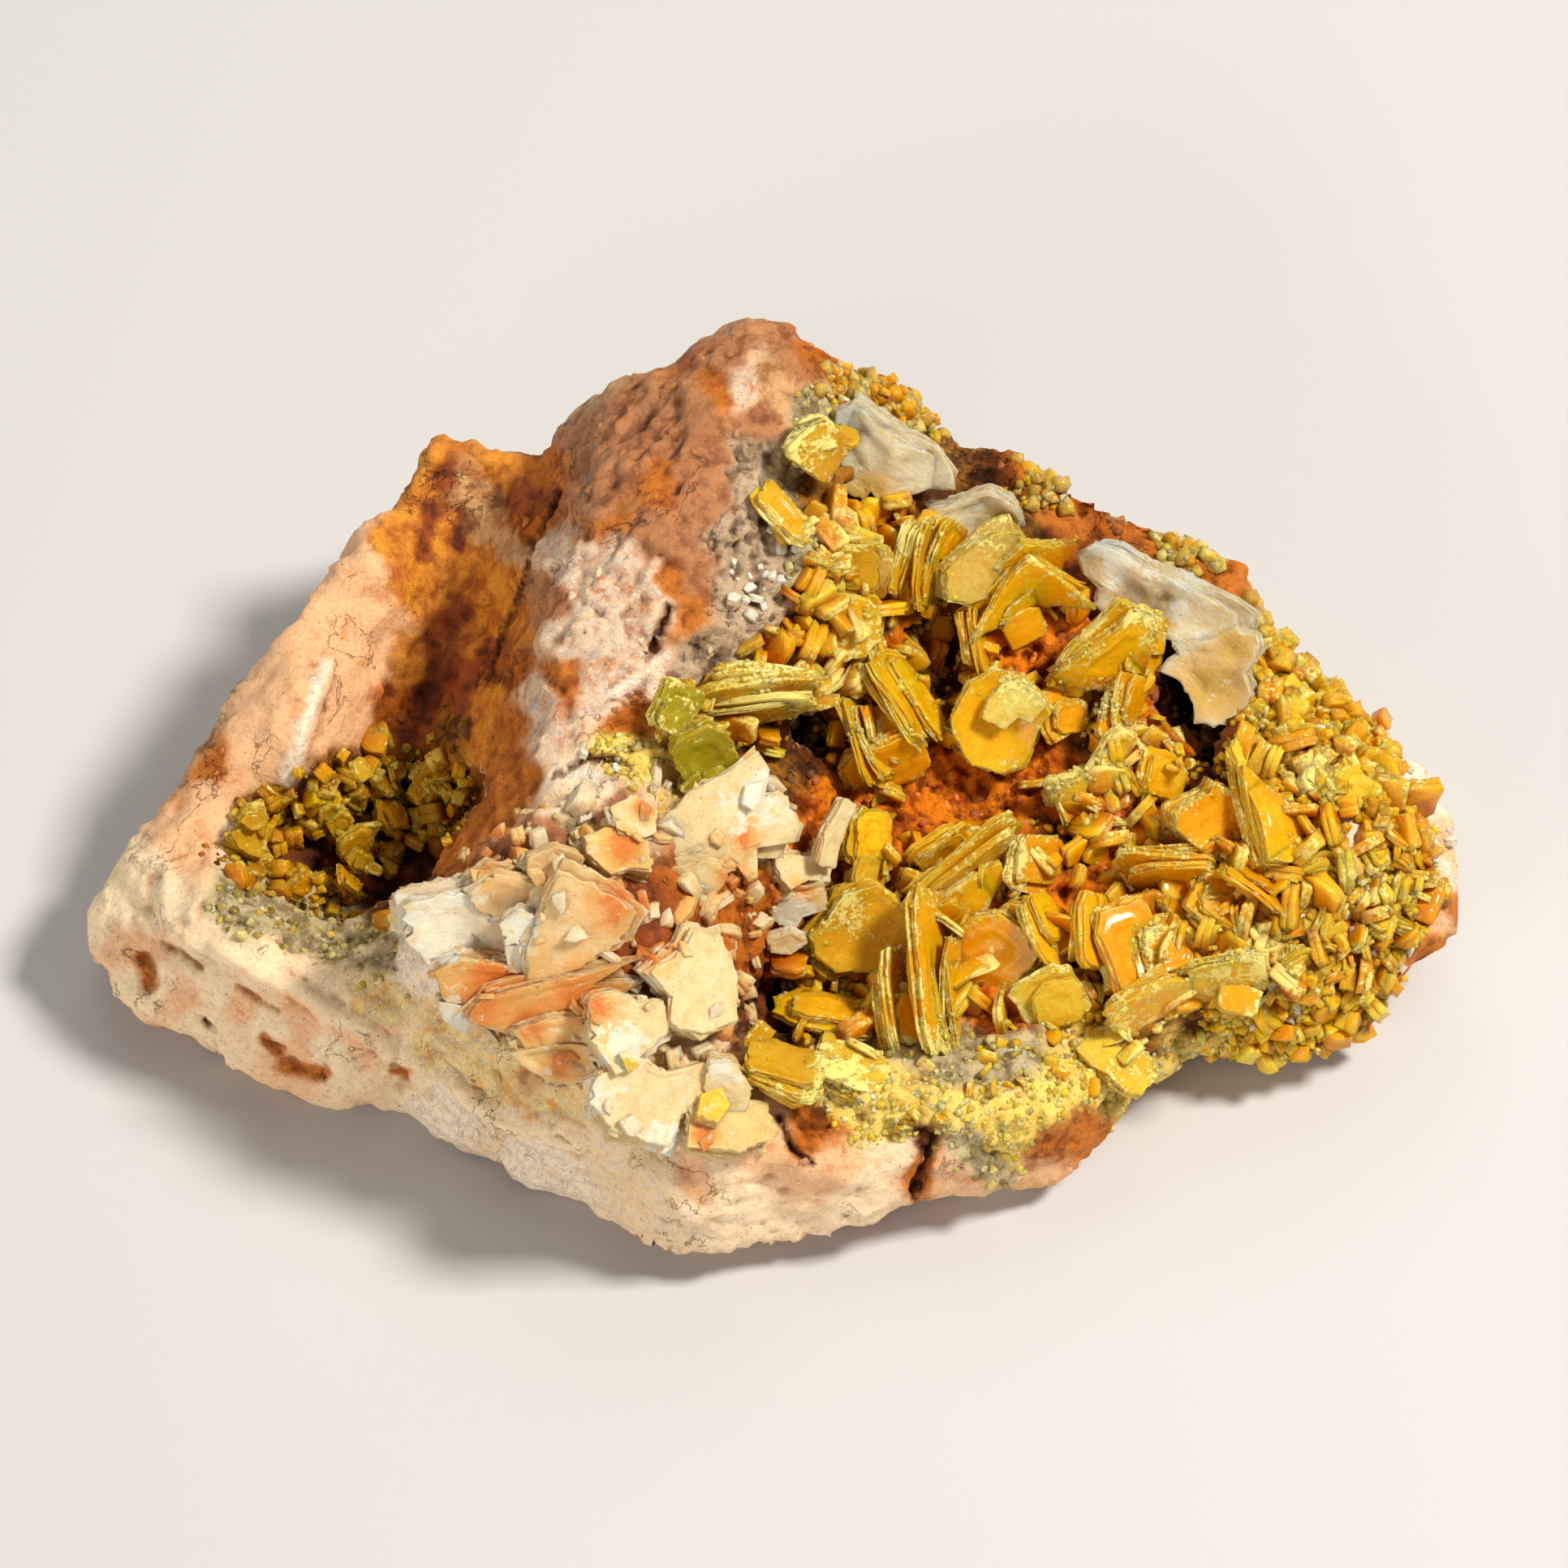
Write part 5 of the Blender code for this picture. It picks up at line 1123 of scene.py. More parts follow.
def crystal_finish(name, page_and_highlight_colour, frost_colour):
    made = Finish(name)
    body, place = made.attribute("body", "Color"), made.attribute("place", "Vector")
    rim, frost, root, sugar = map(made.attribute, ("rim", "frost", "root", "sugar"))
    # Golden zones and browner ones, by clouds of two sizes.
    clouds = made.noise(1.1, 5, 0.65, 0.9, place)
    colour = made.laid(body, made.times(body, 0.94, 0.78, 0.30), clouds, 0.38, 0.64, 0.85)
    crumbs = made.noise(0.30, 5, 0.75, 0, place)
    colour = made.laid(colour, made.times(colour, 0.70, 0.48, 0.22), crumbs, 0.48, 0.34, 0.4)
    # The pages' edges are pale lines, partly painted highlight, with brown ones between.
    pages = made.noise(0.5, 3, 0.7, 0, place, (0.35, 0.35, 7))
    lined = made.laid(made.times(body, 0.72, 0.42, 0.10), page_and_highlight_colour, pages, 0.42, 0.60)
    colour = made.laid(colour, lined, rim, *EDGE, 0.68)
    # Frost lies in ragged patches, thickest toward the rims.
    patches = made.noise(1.4, 5, 0.65, 0.6, place)
    coat = made.total(
        (made.between(rim, 0.5, 1.0), 0.12), (frost, 0.16), (sugar, 0.22), (crumbs, 0.9), (patches, 0.75))
    frosted = made.between(coat, 1.06, 1.13, 0.0, 0.8)
    colour = made.mix(frosted, colour, frost_colour)
    # Iron stain and painted shade darken the foot.
    rust_and_shade = made.maths("MULTIPLY", root, made.between(patches, 0.38, 0.60, 0.6, 1.0))
    colour = made.mix(made.maths("MULTIPLY", rust_and_shade, 0.9), colour, made.times(body, 0.58, 0.24, 0.03))
    made.set(
        Base_Color=colour, Roughness=made.between(frosted, 0.0, 0.8, 0.16, 0.45), IOR=1.6,
        Transmission_Weight=made.between(frosted, 0.0, 0.8, 0.12, 0.0), Subsurface_Weight=0.6,
        Subsurface_Radius=(1.0, 0.72, 0.16), Subsurface_Scale=0.7 * MM,
        Specular_Tint=(1.0, 0.80, 0.25), Coat_Weight=0.22, Coat_Roughness=0.10, Coat_Tint=(1.0, 0.95, 0.5))
    lines = made.bump(pages, 0.07, 0.8)
    steps = made.bump(made.noise(0.5, 6, 0.7, 0.4, place), 0.14, 0.9, lines)
    steps = made.bump(crumbs, 0.06, 0.9, steps)
    made.set(Normal=made.bump(frosted, 0.03, 0.9, steps))
    print(name, "has", len(made.tree.nodes), "nodes")
    return made.material


honey = crystal_finish("honey_wulfenite", srgb(255, 216, 84), srgb(255, 234, 148))

# %% Build the plates
# Where fine new growth has frosted the plates: x, y and radius on the face.
SUGARED = [
    (11.2, 4.2, 1.9), (15.8, 4, 1.6), (16.6, 2.4, 1.7), (15, 0.8, 1.7), (13.6, -0.4, 1.4), (16.2, -1.9, 1.6),
    (3.6, 7.8, 2), (2.2, 12, 2.2), (1.2, 16.8, 1.8), (5, -7.6, 1.6), (10.2, -8, 2.4), (-1, 4.4, 2.6), (3, 5.4, 1.6),
    (4.2, 2.6, 1.4), (3.4, -6.6, 2), (11.8, -3.6, 1.6), (18, -7.6, 1.8), (17.8, 7.6, 1.5), (10.2, 11.4, 1.4),
    (6, 11.8, 1.6), (22.8, -8.8, 2.6), (17.6, -12.6, 3), (7, -13.6, 2.6), (2.6, -14, 2.4), (26, 0.6, 2), (28.4, -5, 2),
]
PAINTED = {"sugar": SUGARED}
plate_objects = [
    growth.build(f"wulfenite_plates_{name}", honey, slot="wulfenite", replaces=("wulfenite_crust",), painted=PAINTED)
    for name, growth in plates.items()]
satellites.build("wulfenite_satellites", honey, slot="wulfenite", painted=PAINTED)

# %% [markdown]
# ## Crystals grown on the rock
# Between the large plates the hollow's walls are crowded with small tablets, and beyond them with druse: a crust of
# grains under a millimetre across. They are scattered over the faces of the rock's own mesh, by how much of each
# kind of ground lies there, so that they sit on it whatever its shape.

# %% Picking places on a surface
Surface = namedtuple("Surface", "places triangles")
Spots = namedtuple("Spots", "places normals corner")


def surface_of(obj):
    """The object's points on the display face, and its triangles."""
    obj.data.calc_loop_triangles()
    triangles = np.empty(len(obj.data.loop_triangles) * 3, np.int32)
    obj.data.loop_triangles.foreach_get("vertices", triangles)
    return Surface(to_face(read(obj)), triangles.reshape(-1, 3))


def scattered(surface, weight, count, chance, apart=0.0):
    """Spots on the surface, more of them where weight, a value for each of its points, is high."""
    a, b, c = (surface.places[surface.triangles[:, k]] for k in range(3))
    normals = np.cross(b - a, c - a)
    area = np.linalg.norm(normals, axis=1)
    odds = area * weight[surface.triangles].mean(axis=1)
    face = chance.choice(len(odds), count, p=odds / odds.sum())
    u, v = chance.random((2, count))
    u, v = np.where(u + v > 1, 1 - u, u), np.where(u + v > 1, 1 - v, v)
    places = a[face] + u[:, None] * (b - a)[face] + v[:, None] * (c - a)[face]
    if apart:
        kept, taken = [], {}
        for number, cell in enumerate(map(tuple, np.floor(places / apart).astype(int))):
            if cell not in taken:
                taken[cell] = kept.append(number)
        places, face = places[kept], face[kept]
    return Spots(places, normals[face] / area[face][:, None], surface.triangles[face, 0])


rock_surface = surface_of(rock)
print("spots can lie on", len(rock_surface.triangles), "of the rock's triangles")


# %% Copies on those places
FOOT = 0.15  # how deep a standing copy's foot goes into the surface, in millimetres
REDDENING = np.array((0.7, 1.05, 1.8))  # how strongly a lighter or darker copy changes its red, green and blue
PAGED, UNPAGED = 0.97, 0.9  # the finishes draw pages where the rim's value is near 1: faintly on tablets, not on grains


def standing(normals, chance, lean):
    """Turns for tablets that stand on the surface on edge: their Y runs out of it, less so with more lean."""
    up = normals + lean * chance.normal(size=normals.shape)
    up /= np.linalg.norm(up, axis=1, keepdims=True)
    out = np.cross(up, chance.normal(size=normals.shape))
    out /= np.linalg.norm(out, axis=1, keepdims=True)
    return np.stack([np.cross(up, out), up, out], axis=2)


def scatter_copies(growth, templates, spots, sizes, colours, chance, lean, sink=0.1, uneven=0.05, flat=False):
    """A copy of a template on each spot; sizes and colours have a row a copy. Flat ones lie on their face."""
    for number, template in enumerate(templates):
        one = slice(number, None, len(templates))
        places, normals, size = spots.places[one], spots.normals[one], sizes[one]
        turns = standing(normals, chance, lean)
        if flat:
            turns = turns[:, :, [2, 0, 1]]
        count, each = len(size), len(template.points)
        local = template.points * (1 + uneven * chance.normal(size=(count, each, 1))) * size[:, None, :] / 2
        tall = size[:, 2] if flat else size.max(axis=1)
        seat = places + normals * (tall * (0.5 - sink) - (0 if flat else FOOT))[:, None]
        points = np.einsum("nij,npj->npi", turns, local) + seat[:, None, :]
        rim = np.where(np.abs(template.points[:, 2]) < 0.9, 1.0, template.share)
        rim = rim * (PAGED if template.spokes > GRAIN.spokes else UNPAGED)
        height = ((points - seat[:, None]) * normals[:, None]).sum(axis=2)
        root = ease(0.45 * size.max(axis=1)[:, None] - height, 0, 1)
        own_place = local + chance.uniform(0, 50, (count, 1, 3))
        growth.add(
            to_world(points.reshape(-1, 3)), template, body=np.repeat(colours[one], each, axis=0),
            rim=np.tile(rim, count), root=root.ravel(), frost=np.repeat(chance.random(count), each),
            place=(own_place * MM).reshape(-1, 3))


def sizes_of(count, chance, lengths, breadth=(0.6, 0.95), thickness=(0.22, 0.4)):
    """A length, breadth and thickness a copy: lengths in millimetres, the others as shares of the length."""
    low, high = lengths
    length = low * (high / low) ** chance.random(count)
    return np.column_stack([length, *(length * chance.uniform(*share, count) for share in (breadth, thickness))])


def palette(names, count, chance, spread=0.12):
    """A colour a copy, from these hues, each a little lighter or darker, and the darker the redder."""
    colours = np.array([HUES[name] for name in names])[chance.integers(len(names), size=count)]
    if not spread:
        return colours
    light = np.clip(1 + spread * chance.normal(size=(count, 1)), 0.5, 1.5)
    return colours * light**REDDENING


def sow(growth, templates, surface, weight, count, chance, proportions, hues, lean, sink=0.1, uneven=0.05,
        flat=False, apart=0.0, spread=0.12, shade=1.0):
    """Scatters copies over a surface: the proportions are those of sizes_of, and the shade darkens the hues, as painted
    shade.
    """
    spots = scattered(surface, weight, count, chance, apart)
    sizes = sizes_of(len(spots.places), chance, *proportions)
    colours = palette(hues, len(sizes), chance, spread) * shade
    scatter_copies(growth, templates, spots, sizes, colours, chance, lean, sink, uneven, flat)


print("a copy's usual size:", sizes_of(1, np.random.default_rng(SEED), (0.8, 2.3)).round(2)[0], "mm")

# %% [markdown]
# ## Small tablets
# The floor of the hollow is crowded with tablets a millimetre or two long, which stand on edge like the large ones.
# On the shoulder at the right they are smaller and lie at all angles among broken chips.

# %% Small tablets
CROWDED = [(4, 12, 3.2), (2.2, 9.6, 2.4), (0.6, 6.2, 2.2), (6.6, 6, 1.6), (17.4, 1, 2.4), (15.6, -2, 2)]
chance = np.random.default_rng(SEED)
x, y = places[:, 0], places[:, 1]
hollow_floor = ease(depth_inside(rock_surface.places, HOLLOW), 0.3, 1.5) * ease(facing, 0.05, 0.4)
crowded = hollow_floor * np.where(y < -2, 1.0, 0.25) * (1 - 0.85 * share_of(shares, "limonite", "umber", "ashen"))
crowded += 1.6 * ease(near_spots(places, CROWDED), 0.0, 0.5) * ease(facing, 0.0, 0.3)
crowded *= 1 - 0.85 * share_of(shares, "sulphur")
tablets = Growth()
spots = scattered(rock_surface, crowded, 880, chance, apart=0.75)
sizes = sizes_of(len(spots.places), chance, (0.8, 2.3))
# They are less than half as large along the hollow's lower rim.
sizes *= np.where(spots.places[:, 1] < -12.5 + 0.1 * spots.places[:, 0], 0.45, 1.0)[:, None]
colours = palette(("honey", "amber", "honey", "straw"), len(sizes), chance)
scatter_copies(tablets, TABLETS, spots, sizes, colours, chance, 0.45)
shoulder = ease(x, 21, 25) * ease(facing, -0.1, 0.3) * share_of(shares, "olive", "sulphur")
sow(tablets, TABLETS + CHIPS, rock_surface, shoulder, 700, chance, ((0.5, 1.4), (0.7, 1.0), (0.5, 0.9)),
    ("honey", "amber", "straw", "honey", "olive"), 0.9, apart=0.55, spread=0.15)
tablets.build("small_wulfenite_tablets", honey, slot="wulfenite", painted=PAINTED)

# %% [markdown]
# ## Druse
# Druse is the crust of grains that glitters round the larger crystals. Each grain is a blunt disc of 36
# triangles, pushed a little out of true, which at a few tenths of a millimetre is all that an eye makes out. The
# honey druse takes the plates' finish; the pale one is dulled by frost.

# %% Druse
def grow_druse(name, rows, material):
    """A crust of grains: each row gives the weight, the count, the smallest and largest size, and the hues."""
    druse = Growth()
    for weight, count, lengths, hues in rows:
        sow(druse, [GRAIN], rock_surface, weight, count, chance, (lengths, (0.7, 1.1), (0.5, 1.0)), hues, 1.2,
            0.3, 0.12, spread=0.2)
    druse.build(name, material, slot="wulfenite", painted=PAINTED)


FROSTED_RIM = [(3.8, 19.4, 2.6), (6.2, 18.4, 2.2), (12.6, 14.6, 2), (19.6, 11.4, 2.2), (23.2, 8.2, 1.8)]
upward = ease(facing, -0.2, 0.2)
grow_druse("druse_grains", [
    (ease(x, 19.5, 23) * ease(facing, -0.3, 0.2) * share_of(shares, "olive", "sulphur"), 3400, (0.2, 0.75),
     ("honey", "amber", "olive", "honey", "straw")),
    (hollow_floor * share_of(shares, "olive", "umber", "oxblood"), 1400, (0.2, 0.7), ("honey", "olive", "amber")),
], honey)
frosted = crystal_finish("frosted_druse", srgb(236, 222, 170), srgb(246, 234, 186))
grow_druse("pale_druse", [
    (upward * share_of(shares, "sulphur"), 1700, (0.14, 0.5), ("frost", "straw", "frost", "dull")),
    (upward * share_of(shares, "ashen"), 900, (0.15, 0.6), ("ash", "ash", "moss", "dull")),
    (upward * near_spots(places, FROSTED_RIM), 420, (0.3, 1.1), ("amber", "dull", "dull")),
], frosted)

# %% [markdown]
# ## Sugar on the plates
# The last growth was a sugar of tiny crystals, thickest on the rims of the plates. It is scattered over the plates'
# own faces, by their rim value and by ragged noise, so that it gathers along edges and leaves faces bare.

# %% Sugar on the plates
def sugar_over(obj, seed, bare, full):
    """The object's surface, and a ragged weight on it that is 0 in its bare patches."""
    surface = surface_of(obj)
    return surface, ease(layered_noise(surface.places, 1.3, 3, 0.6, seed=seed), bare, full)


sugar = Growth()
for plate, count in zip(plate_objects, (2600, 3000)):
    surface, ragged = sugar_over(plate, 71, 0.0, 0.5)
    rim_value = np.empty(len(surface.places), np.float32)
    plate.data.attributes["rim"].data.foreach_get("value", rim_value)
    weight = (0.15 + near_spots(surface.places, SUGARED)) * (0.25 + ease(rim_value, 0.5, 0.95)) * ragged
    sow(sugar, [SUGAR], surface, weight, count, chance, ((0.10, 0.36), (0.7, 1.1), (0.6, 1.0)),
        ("frost", "straw", "honey"), 1.0, 0.2, spread=0.1)
sugar.build("wulfenite_sugar", honey, slot="wulfenite", painted=PAINTED)

# %% [markdown]
# ## Crumbs of the rock
# Limonite and rust crumble. Lumps of a few tenths of a millimetre lie on the rough kinds of ground, each in the
# colour of the ground under it, so that they thicken the surface and don't speckle it.

# %% Crumbs of the rock
CRUMBS = 3200
crumb_weight = share_of(shares, "limonite") * 1.6
crumb_weight = crumb_weight + share_of(shares, "rust", "umber", "porous", "ashen", "sulphur", "olive") * 0.8
crumb_weight = (crumb_weight + 0.25 * share_of(shares, "orange", "veined", "ridge")) * ease(facing, -0.3, 0.2)
crumbs = Growth()
spots = scattered(rock_surface, crumb_weight, CRUMBS, chance)
sizes = sizes_of(CRUMBS, chance, (0.16, 0.7), (0.6, 1.1), (0.5, 0.9))
local, local_stain = (np.clip(kind_values(shares, field)[spots.corner], 0, 1) for field in ("colour", "stain"))
part = chance.random((CRUMBS, 1))
colours = (local * part + local_stain * (1 - part)) * chance.uniform(0.8, 1.25, (CRUMBS, 1))
scatter_copies(crumbs, [LUMP], spots, sizes, colours, chance, 1.5, 0.45, 0.2)
grit = Finish("rock_crumbs")
body, grain = grit.attribute("body", "Color"), grit.noise(0.2, 4, 0.7)
colour = grit.laid(body, grit.times(body, 0.6, 0.5, 0.4), grain, 0.4, 0.65, 0.6)
grit.set(Base_Color=colour, Roughness=0.7, IOR=1.6, Normal=grit.bump(grain, 0.06, 0.9))
crumbs.build("rock_crumbs", grit.material, slot="matrix_rock")

# %% [markdown]
# ## Barite blades
# The barite beside the hollow is a fan of thicker, opaque sheets. They cleave, so their ends are stepped and
# ragged, and iron has run down between them and stained their roots orange.

# %% Barite sheets
BARITE_SHEETS = [
    # the toothed sheet that stands over the hollow's left edge
    Drawn("shell", 1.7, 60, 22, 0.55, 2, [(-1.4, 1.5), (-0.7, 0.55), (-1, -0.6), (-0.4, -0.5), (0.3, -1.5),
        (1.05, -2.55), (0.55, -2.8), (-0.6, -2.95), (-1.4, -3.05), (-1.4, -3.65), (-1.4, -4.45), (-1.85, -4.6),
        (-2.3, -4), (-2.8, -4.25), (-3.3, -5.2), (-4.7, -6.6), (-5.8, -6.9), (-6.9, -5.8), (-6.4, -4.75),
        (-5.9, -4.25), (-6.05, -3.05), (-6.05, -1.85), (-5.2, -1.15), (-4.5, -0.4), (-2.9, 0.45)]),
    Drawn("shell", 2.6, 20, 28, 0.5, 3, [(-6.9, -5.4), (-5.6, -4), (-3.6, -3.4), (-2.7, -4.4), (-3.5, -5.6),
        (-5, -6.9), (-6.4, -6.6)]),
    # lobes to its left
    Drawn("yellow_shell", 4.2, 165, 34, 0.5, 3, [(-9.7, -2.7), (-8.3, -2), (-7.4, -2.5), (-6.5, -2.9), (-6.4, -4.3),
        (-7.4, -4.1), (-8.3, -4.5), (-9.5, -3.5)]),
    Drawn("shell", 3.4, 150, 30, 0.5, 2, [(-8.4, -1.2), (-7.2, -0.6), (-6.2, -1.4), (-6.2, -2.4), (-7, -2.7),
        (-8, -2.4)]),
    # fragments between it and the wulfenite
    Drawn("shell", -1.3, 105, 35, 0.45, 2, [(-0.5, -3.5), (0.3, -3.4), (1.5, -3.6), (2.2, -4), (2.1, -4.8), (1, -4.7),
        (0.1, -5.2), (-0.5, -4.3)]),
    Drawn("shell", -1.8, 20, 38, 0.45, 2, [(-0.8, -6.2), (0.3, -5.3), (1.2, -5.3), (1.9, -5), (2.1, -5.9),
        (0.9, -6.3), (0.5, -7), (-0.3, -6.7)]),
    Drawn("shell", -1, 70, 45, 0.4, 2, [(2.9, -0.7), (3.4, -1), (2.8, -2.5), (2.4, -4), (1.5, -3.8), (1.9, -2.3)]),
    Drawn("shell", -0.6, 110, 30, 0.35, 1, [(-2.8, -4.2), (-2.3, -4.5), (-1.7, -5.6), (-1.4, -6.4), (-2, -6.3),
        (-2.5, -5.4)]),
    Drawn("shell", -0.9, 170, 30, 0.35, 1, [(-2, -6.2), (-1, -6.3), (-0.5, -6.6), (-1, -7), (-1.9, -6.8)]),
    Drawn("shell", -1.9, 30, 30, 0.4, 2, [(-0.9, -7.4), (0.4, -7), (1.2, -7.5), (0.3, -8.2), (-0.7, -8.1)]),
    # the fan that spreads to the left from the sheet's foot
    Drawn("fan", 5.9, 12, 24, 0.5, 3, [(-12.35, -9.4), (-12.4, -7.8), (-11.7, -6.4), (-11.4, -5.2), (-10.8, -4.2),
        (-9.6, -4.7), (-8.3, -5.2), (-6.8, -6.3), (-7.5, -7.45), (-9.45, -8.6), (-11, -9.3)]),
    Drawn("fan", 4.6, 15, 26, 0.6, 3, [(-15.2, -5.1), (-13.9, -4.2), (-12.7, -4.4), (-11.6, -4.8), (-11.9, -5.9),
        (-13.5, -6.4), (-14.7, -6.1)]),
    Drawn("fan", 4.6, 10, 30, 0.5, 2, [(-12.3, -3.4), (-10.9, -2.9), (-9.6, -3.4), (-9.9, -4.6), (-11.3, -4.9),
        (-12.3, -4.4)]),
    Drawn("frosted", 3.8, 5, 22, 0.7, 3, [(-18.2, -5.7), (-16.7, -5.3), (-15.2, -5.1), (-14.4, -6), (-13.2, -6.8),
        (-13.1, -8.3), (-15, -8.3), (-17.1, -8.6), (-18.2, -7.3)]),
    Drawn("frosted", 5.7, 10, 18, 0.5, 2, [(-13.6, -6.6), (-12.7, -6), (-12, -6.2), (-11.4, -6.9), (-12, -7.6),
        (-13.3, -7.6)]),
    Drawn("frosted", 5, 5, 25, 0.5, 2, [(-13.4, -7.6), (-12.3, -7.6), (-12.3, -8.9), (-13.2, -8.9)]),
    Drawn("frosted", 2.2, 80, 26, 0.6, 2, [(-18.5, -5.6), (-17.3, -5.2), (-17, -6.4), (-17.5, -7.3), (-18.5, -7)]),
    Drawn("ochre", 4.6, 10, 30, 0.4, 3, [(-16.7, -9), (-15.6, -8.4), (-14.2, -8.6), (-12.5, -8.7), (-12.3, -9.8),
        (-14.5, -10.3), (-16.2, -10.6)]),
    Drawn("ochre", 4.9, 8, 32, 0.36, 4, [(-15.4, -11.3), (-14.6, -10.3), (-12.5, -9.7), (-9.1, -9.5), (-7.5, -8.5),
        (-7, -9.4), (-9.5, -11.3), (-12.7, -11.9)]),
    Drawn("fan", 4.7, 6, 30, 0.4, 3, [(-13, -11.8), (-11.4, -11.2), (-9.5, -11.1), (-8.9, -12.4), (-10.4, -12.9),
        (-12.2, -12.9)]),
    Drawn("fan", 4, 4, 34, 0.4, 3, [(-13.2, -12.8), (-11, -12.4), (-9.1, -12.5), (-8.8, -14.3), (-10.2, -14.4),
        (-11.6, -14), (-12.6, -13.4)]),
    Drawn("frosted", 3.6, 0, 28, 0.4, 2, [(-16.6, -10.4), (-15, -10.7), (-14.8, -11.8), (-13.6, -12.5), (-15.2, -12.1),
        (-16.4, -11.3)]),
    # the upright cream blocks below
    Drawn("shell", 4.5, 85, 22, 0.6, 3, [(-4.5, -7), (-3.1, -7.3), (-2.4, -8.8), (-2.3, -11.3), (-4.1, -12.1),
        (-5.6, -11.5), (-5.5, -10.2), (-6.6, -9), (-4.9, -7.9)]),
    Drawn("shell", 5.6, 80, 20, 0.6, 3, [(-9.4, -10.2), (-8.3, -9.9), (-7, -10.4), (-5.8, -10.4), (-5.6, -11.9),
        (-6.6, -12.8), (-8.3, -14), (-9.4, -12.1)]),
    Drawn("shell", 4.9, 75, 22, 0.6, 3, [(-8.9, -13.8), (-7.5, -12.8), (-5.6, -13.8), (-3.5, -13.3), (-3.4, -14.5),
        (-4.9, -15.9), (-5.6, -17.4), (-8.3, -16.5), (-9.2, -15.2)]),
    Drawn("shell", 3.9, 20, 26, 0.6, 2, [(-3.6, -13.2), (-2.4, -13.4), (-1.6, -14.6), (-1.9, -15.7), (-3.2, -15.6),
        (-3.9, -14.6)]),
    Drawn("yellow_shell", 3.6, 140, 24, 0.6, 2, [(-4.8, -15.6), (-2.9, -15.1), (-0.9, -15.4), (-0.4, -16.9),
        (-2.2, -17.7), (-4.5, -17.4)]),
    Drawn("lemon", 4.5, 150, 24, 0.45, 2, [(-4, -14.9), (-3, -14.6), (-2.6, -15.5), (-3.2, -16.3), (-4.2, -16)]),
    Drawn("lemon", 6.1, 60, 24, 0.35, 1, [(-7.9, -12.9), (-7.2, -12.6), (-6.9, -13.3), (-7.5, -13.8)]),
]
blades = Growth()
rng = random.Random(SEED + 1)
for drawn in BARITE_SHEETS:
    grow_drawn(blades, drawn, rng, 0.07, 0.06, step=0.04, warp=0.20, bend=0.02, jag=0.035, shift=0.02)
chance_barite = np.random.default_rng(SEED + 1)
rubble = ease(depth_inside(rock_surface.places, BARITE_GROUND), -0.3, 0.6) * ease(facing, 0.0, 0.3)
sow(blades, CHIPS, rock_surface, rubble, 420, chance_barite, ((0.5, 1.9), (0.5, 0.9), (0.25, 0.5)),
    ("shell", "fan", "ochre", "frosted"), 0.8, 0.35, apart=0.9, spread=0)
print(len(BARITE_SHEETS), "barite sheets")

# %% [markdown]
# ## The barite finish
# Barite is a duller, paler stone than wulfenite. Light goes a little way into it, iron soaks in from its foot and
# darkens from orange to umber, and its pages show as pale lines on a brown side. The pale lines are warm, partly
# painted glow standing in for light through the shaded sides.

# %% Barite material
def barite_finish(name, edge_and_glow_colour, frost_colour, stain_colour, transmission, roughness, relief=0.10):
    made = Finish(name)
    body, place = made.attribute("body", "Color"), made.attribute("place", "Vector")
    rim, root, iron, white = map(made.attribute, ("rim", "root", "iron", "sugar"))
    grain = made.noise(0.6, 9, 0.75, 0.4, place, (0.7, 1, 1))
    colour = made.laid(made.times(body, 0.94, 0.78, 0.56), body, grain, 0.36, 0.56, 0.9)
    # Iron has soaked in from the foot, along cracks and wherever the table of iron spots says.
    clouds = made.noise(1.6, 6, 0.68, 0.9, place)
    soaked = made.total((root, 0.20), (clouds, 0.62), (iron, 0.62), (made.between(rim, 0.8, 1.0), -0.06))
    colour = made.laid(colour, made.times(body, 0.98, 0.68, 0.34), soaked, 0.44, 0.62, 0.8)
    colour = made.laid(colour, stain_colour, soaked, 0.60, 0.82, 0.9)
    colour = made.laid(colour, made.times(stain_colour, 0.52, 0.34, 0.2), soaked, 0.88, 1.05, 0.8)
    # The pages show as pale lines of the edge colour on a brown side; its warm tint is partly painted glow, standing in
    # for light through the shaded sides.
    pages = made.noise(0.5, 3, 0.7, 0, place, (0.4, 0.4, 5))
    lined = made.laid(made.times(colour, 0.80, 0.58, 0.36), edge_and_glow_colour, pages, 0.40, 0.60)
    colour = made.laid(colour, lined, rim, *EDGE, 0.7)
    frost = made.maths("ADD", made.noise(0.9, 6, 0.75, 0, place), made.maths("MULTIPLY", white, 0.25))
    frosty = made.between(frost, 0.57, 0.68, 0.0, 0.85)
    colour = made.mix(frosty, colour, frost_colour)
    colour = made.laid(colour, srgb(120, 72, 30), made.noise(0.14, 1, place=place), 0.72, 0.77, 0.6)
    made.set(
        Base_Color=colour, Roughness=made.between(frosty, 0.0, 0.85, roughness, roughness * 0.45), IOR=1.64,
        Transmission_Weight=transmission, Subsurface_Weight=0.45, Subsurface_Radius=(1.0, 0.6, 0.3),
        Subsurface_Scale=0.9 * MM)
    fibres = made.bump(grain, 2.0 * relief, 0.9)
    fibres = made.bump(made.noise(0.22, 4, 0.7, 0, place), 0.5 * relief, 0.9, fibres)
    made.set(Normal=made.bump(pages, 0.06, 0.7, fibres))
    print(name, "has", len(made.tree.nodes), "nodes")
    return made.material


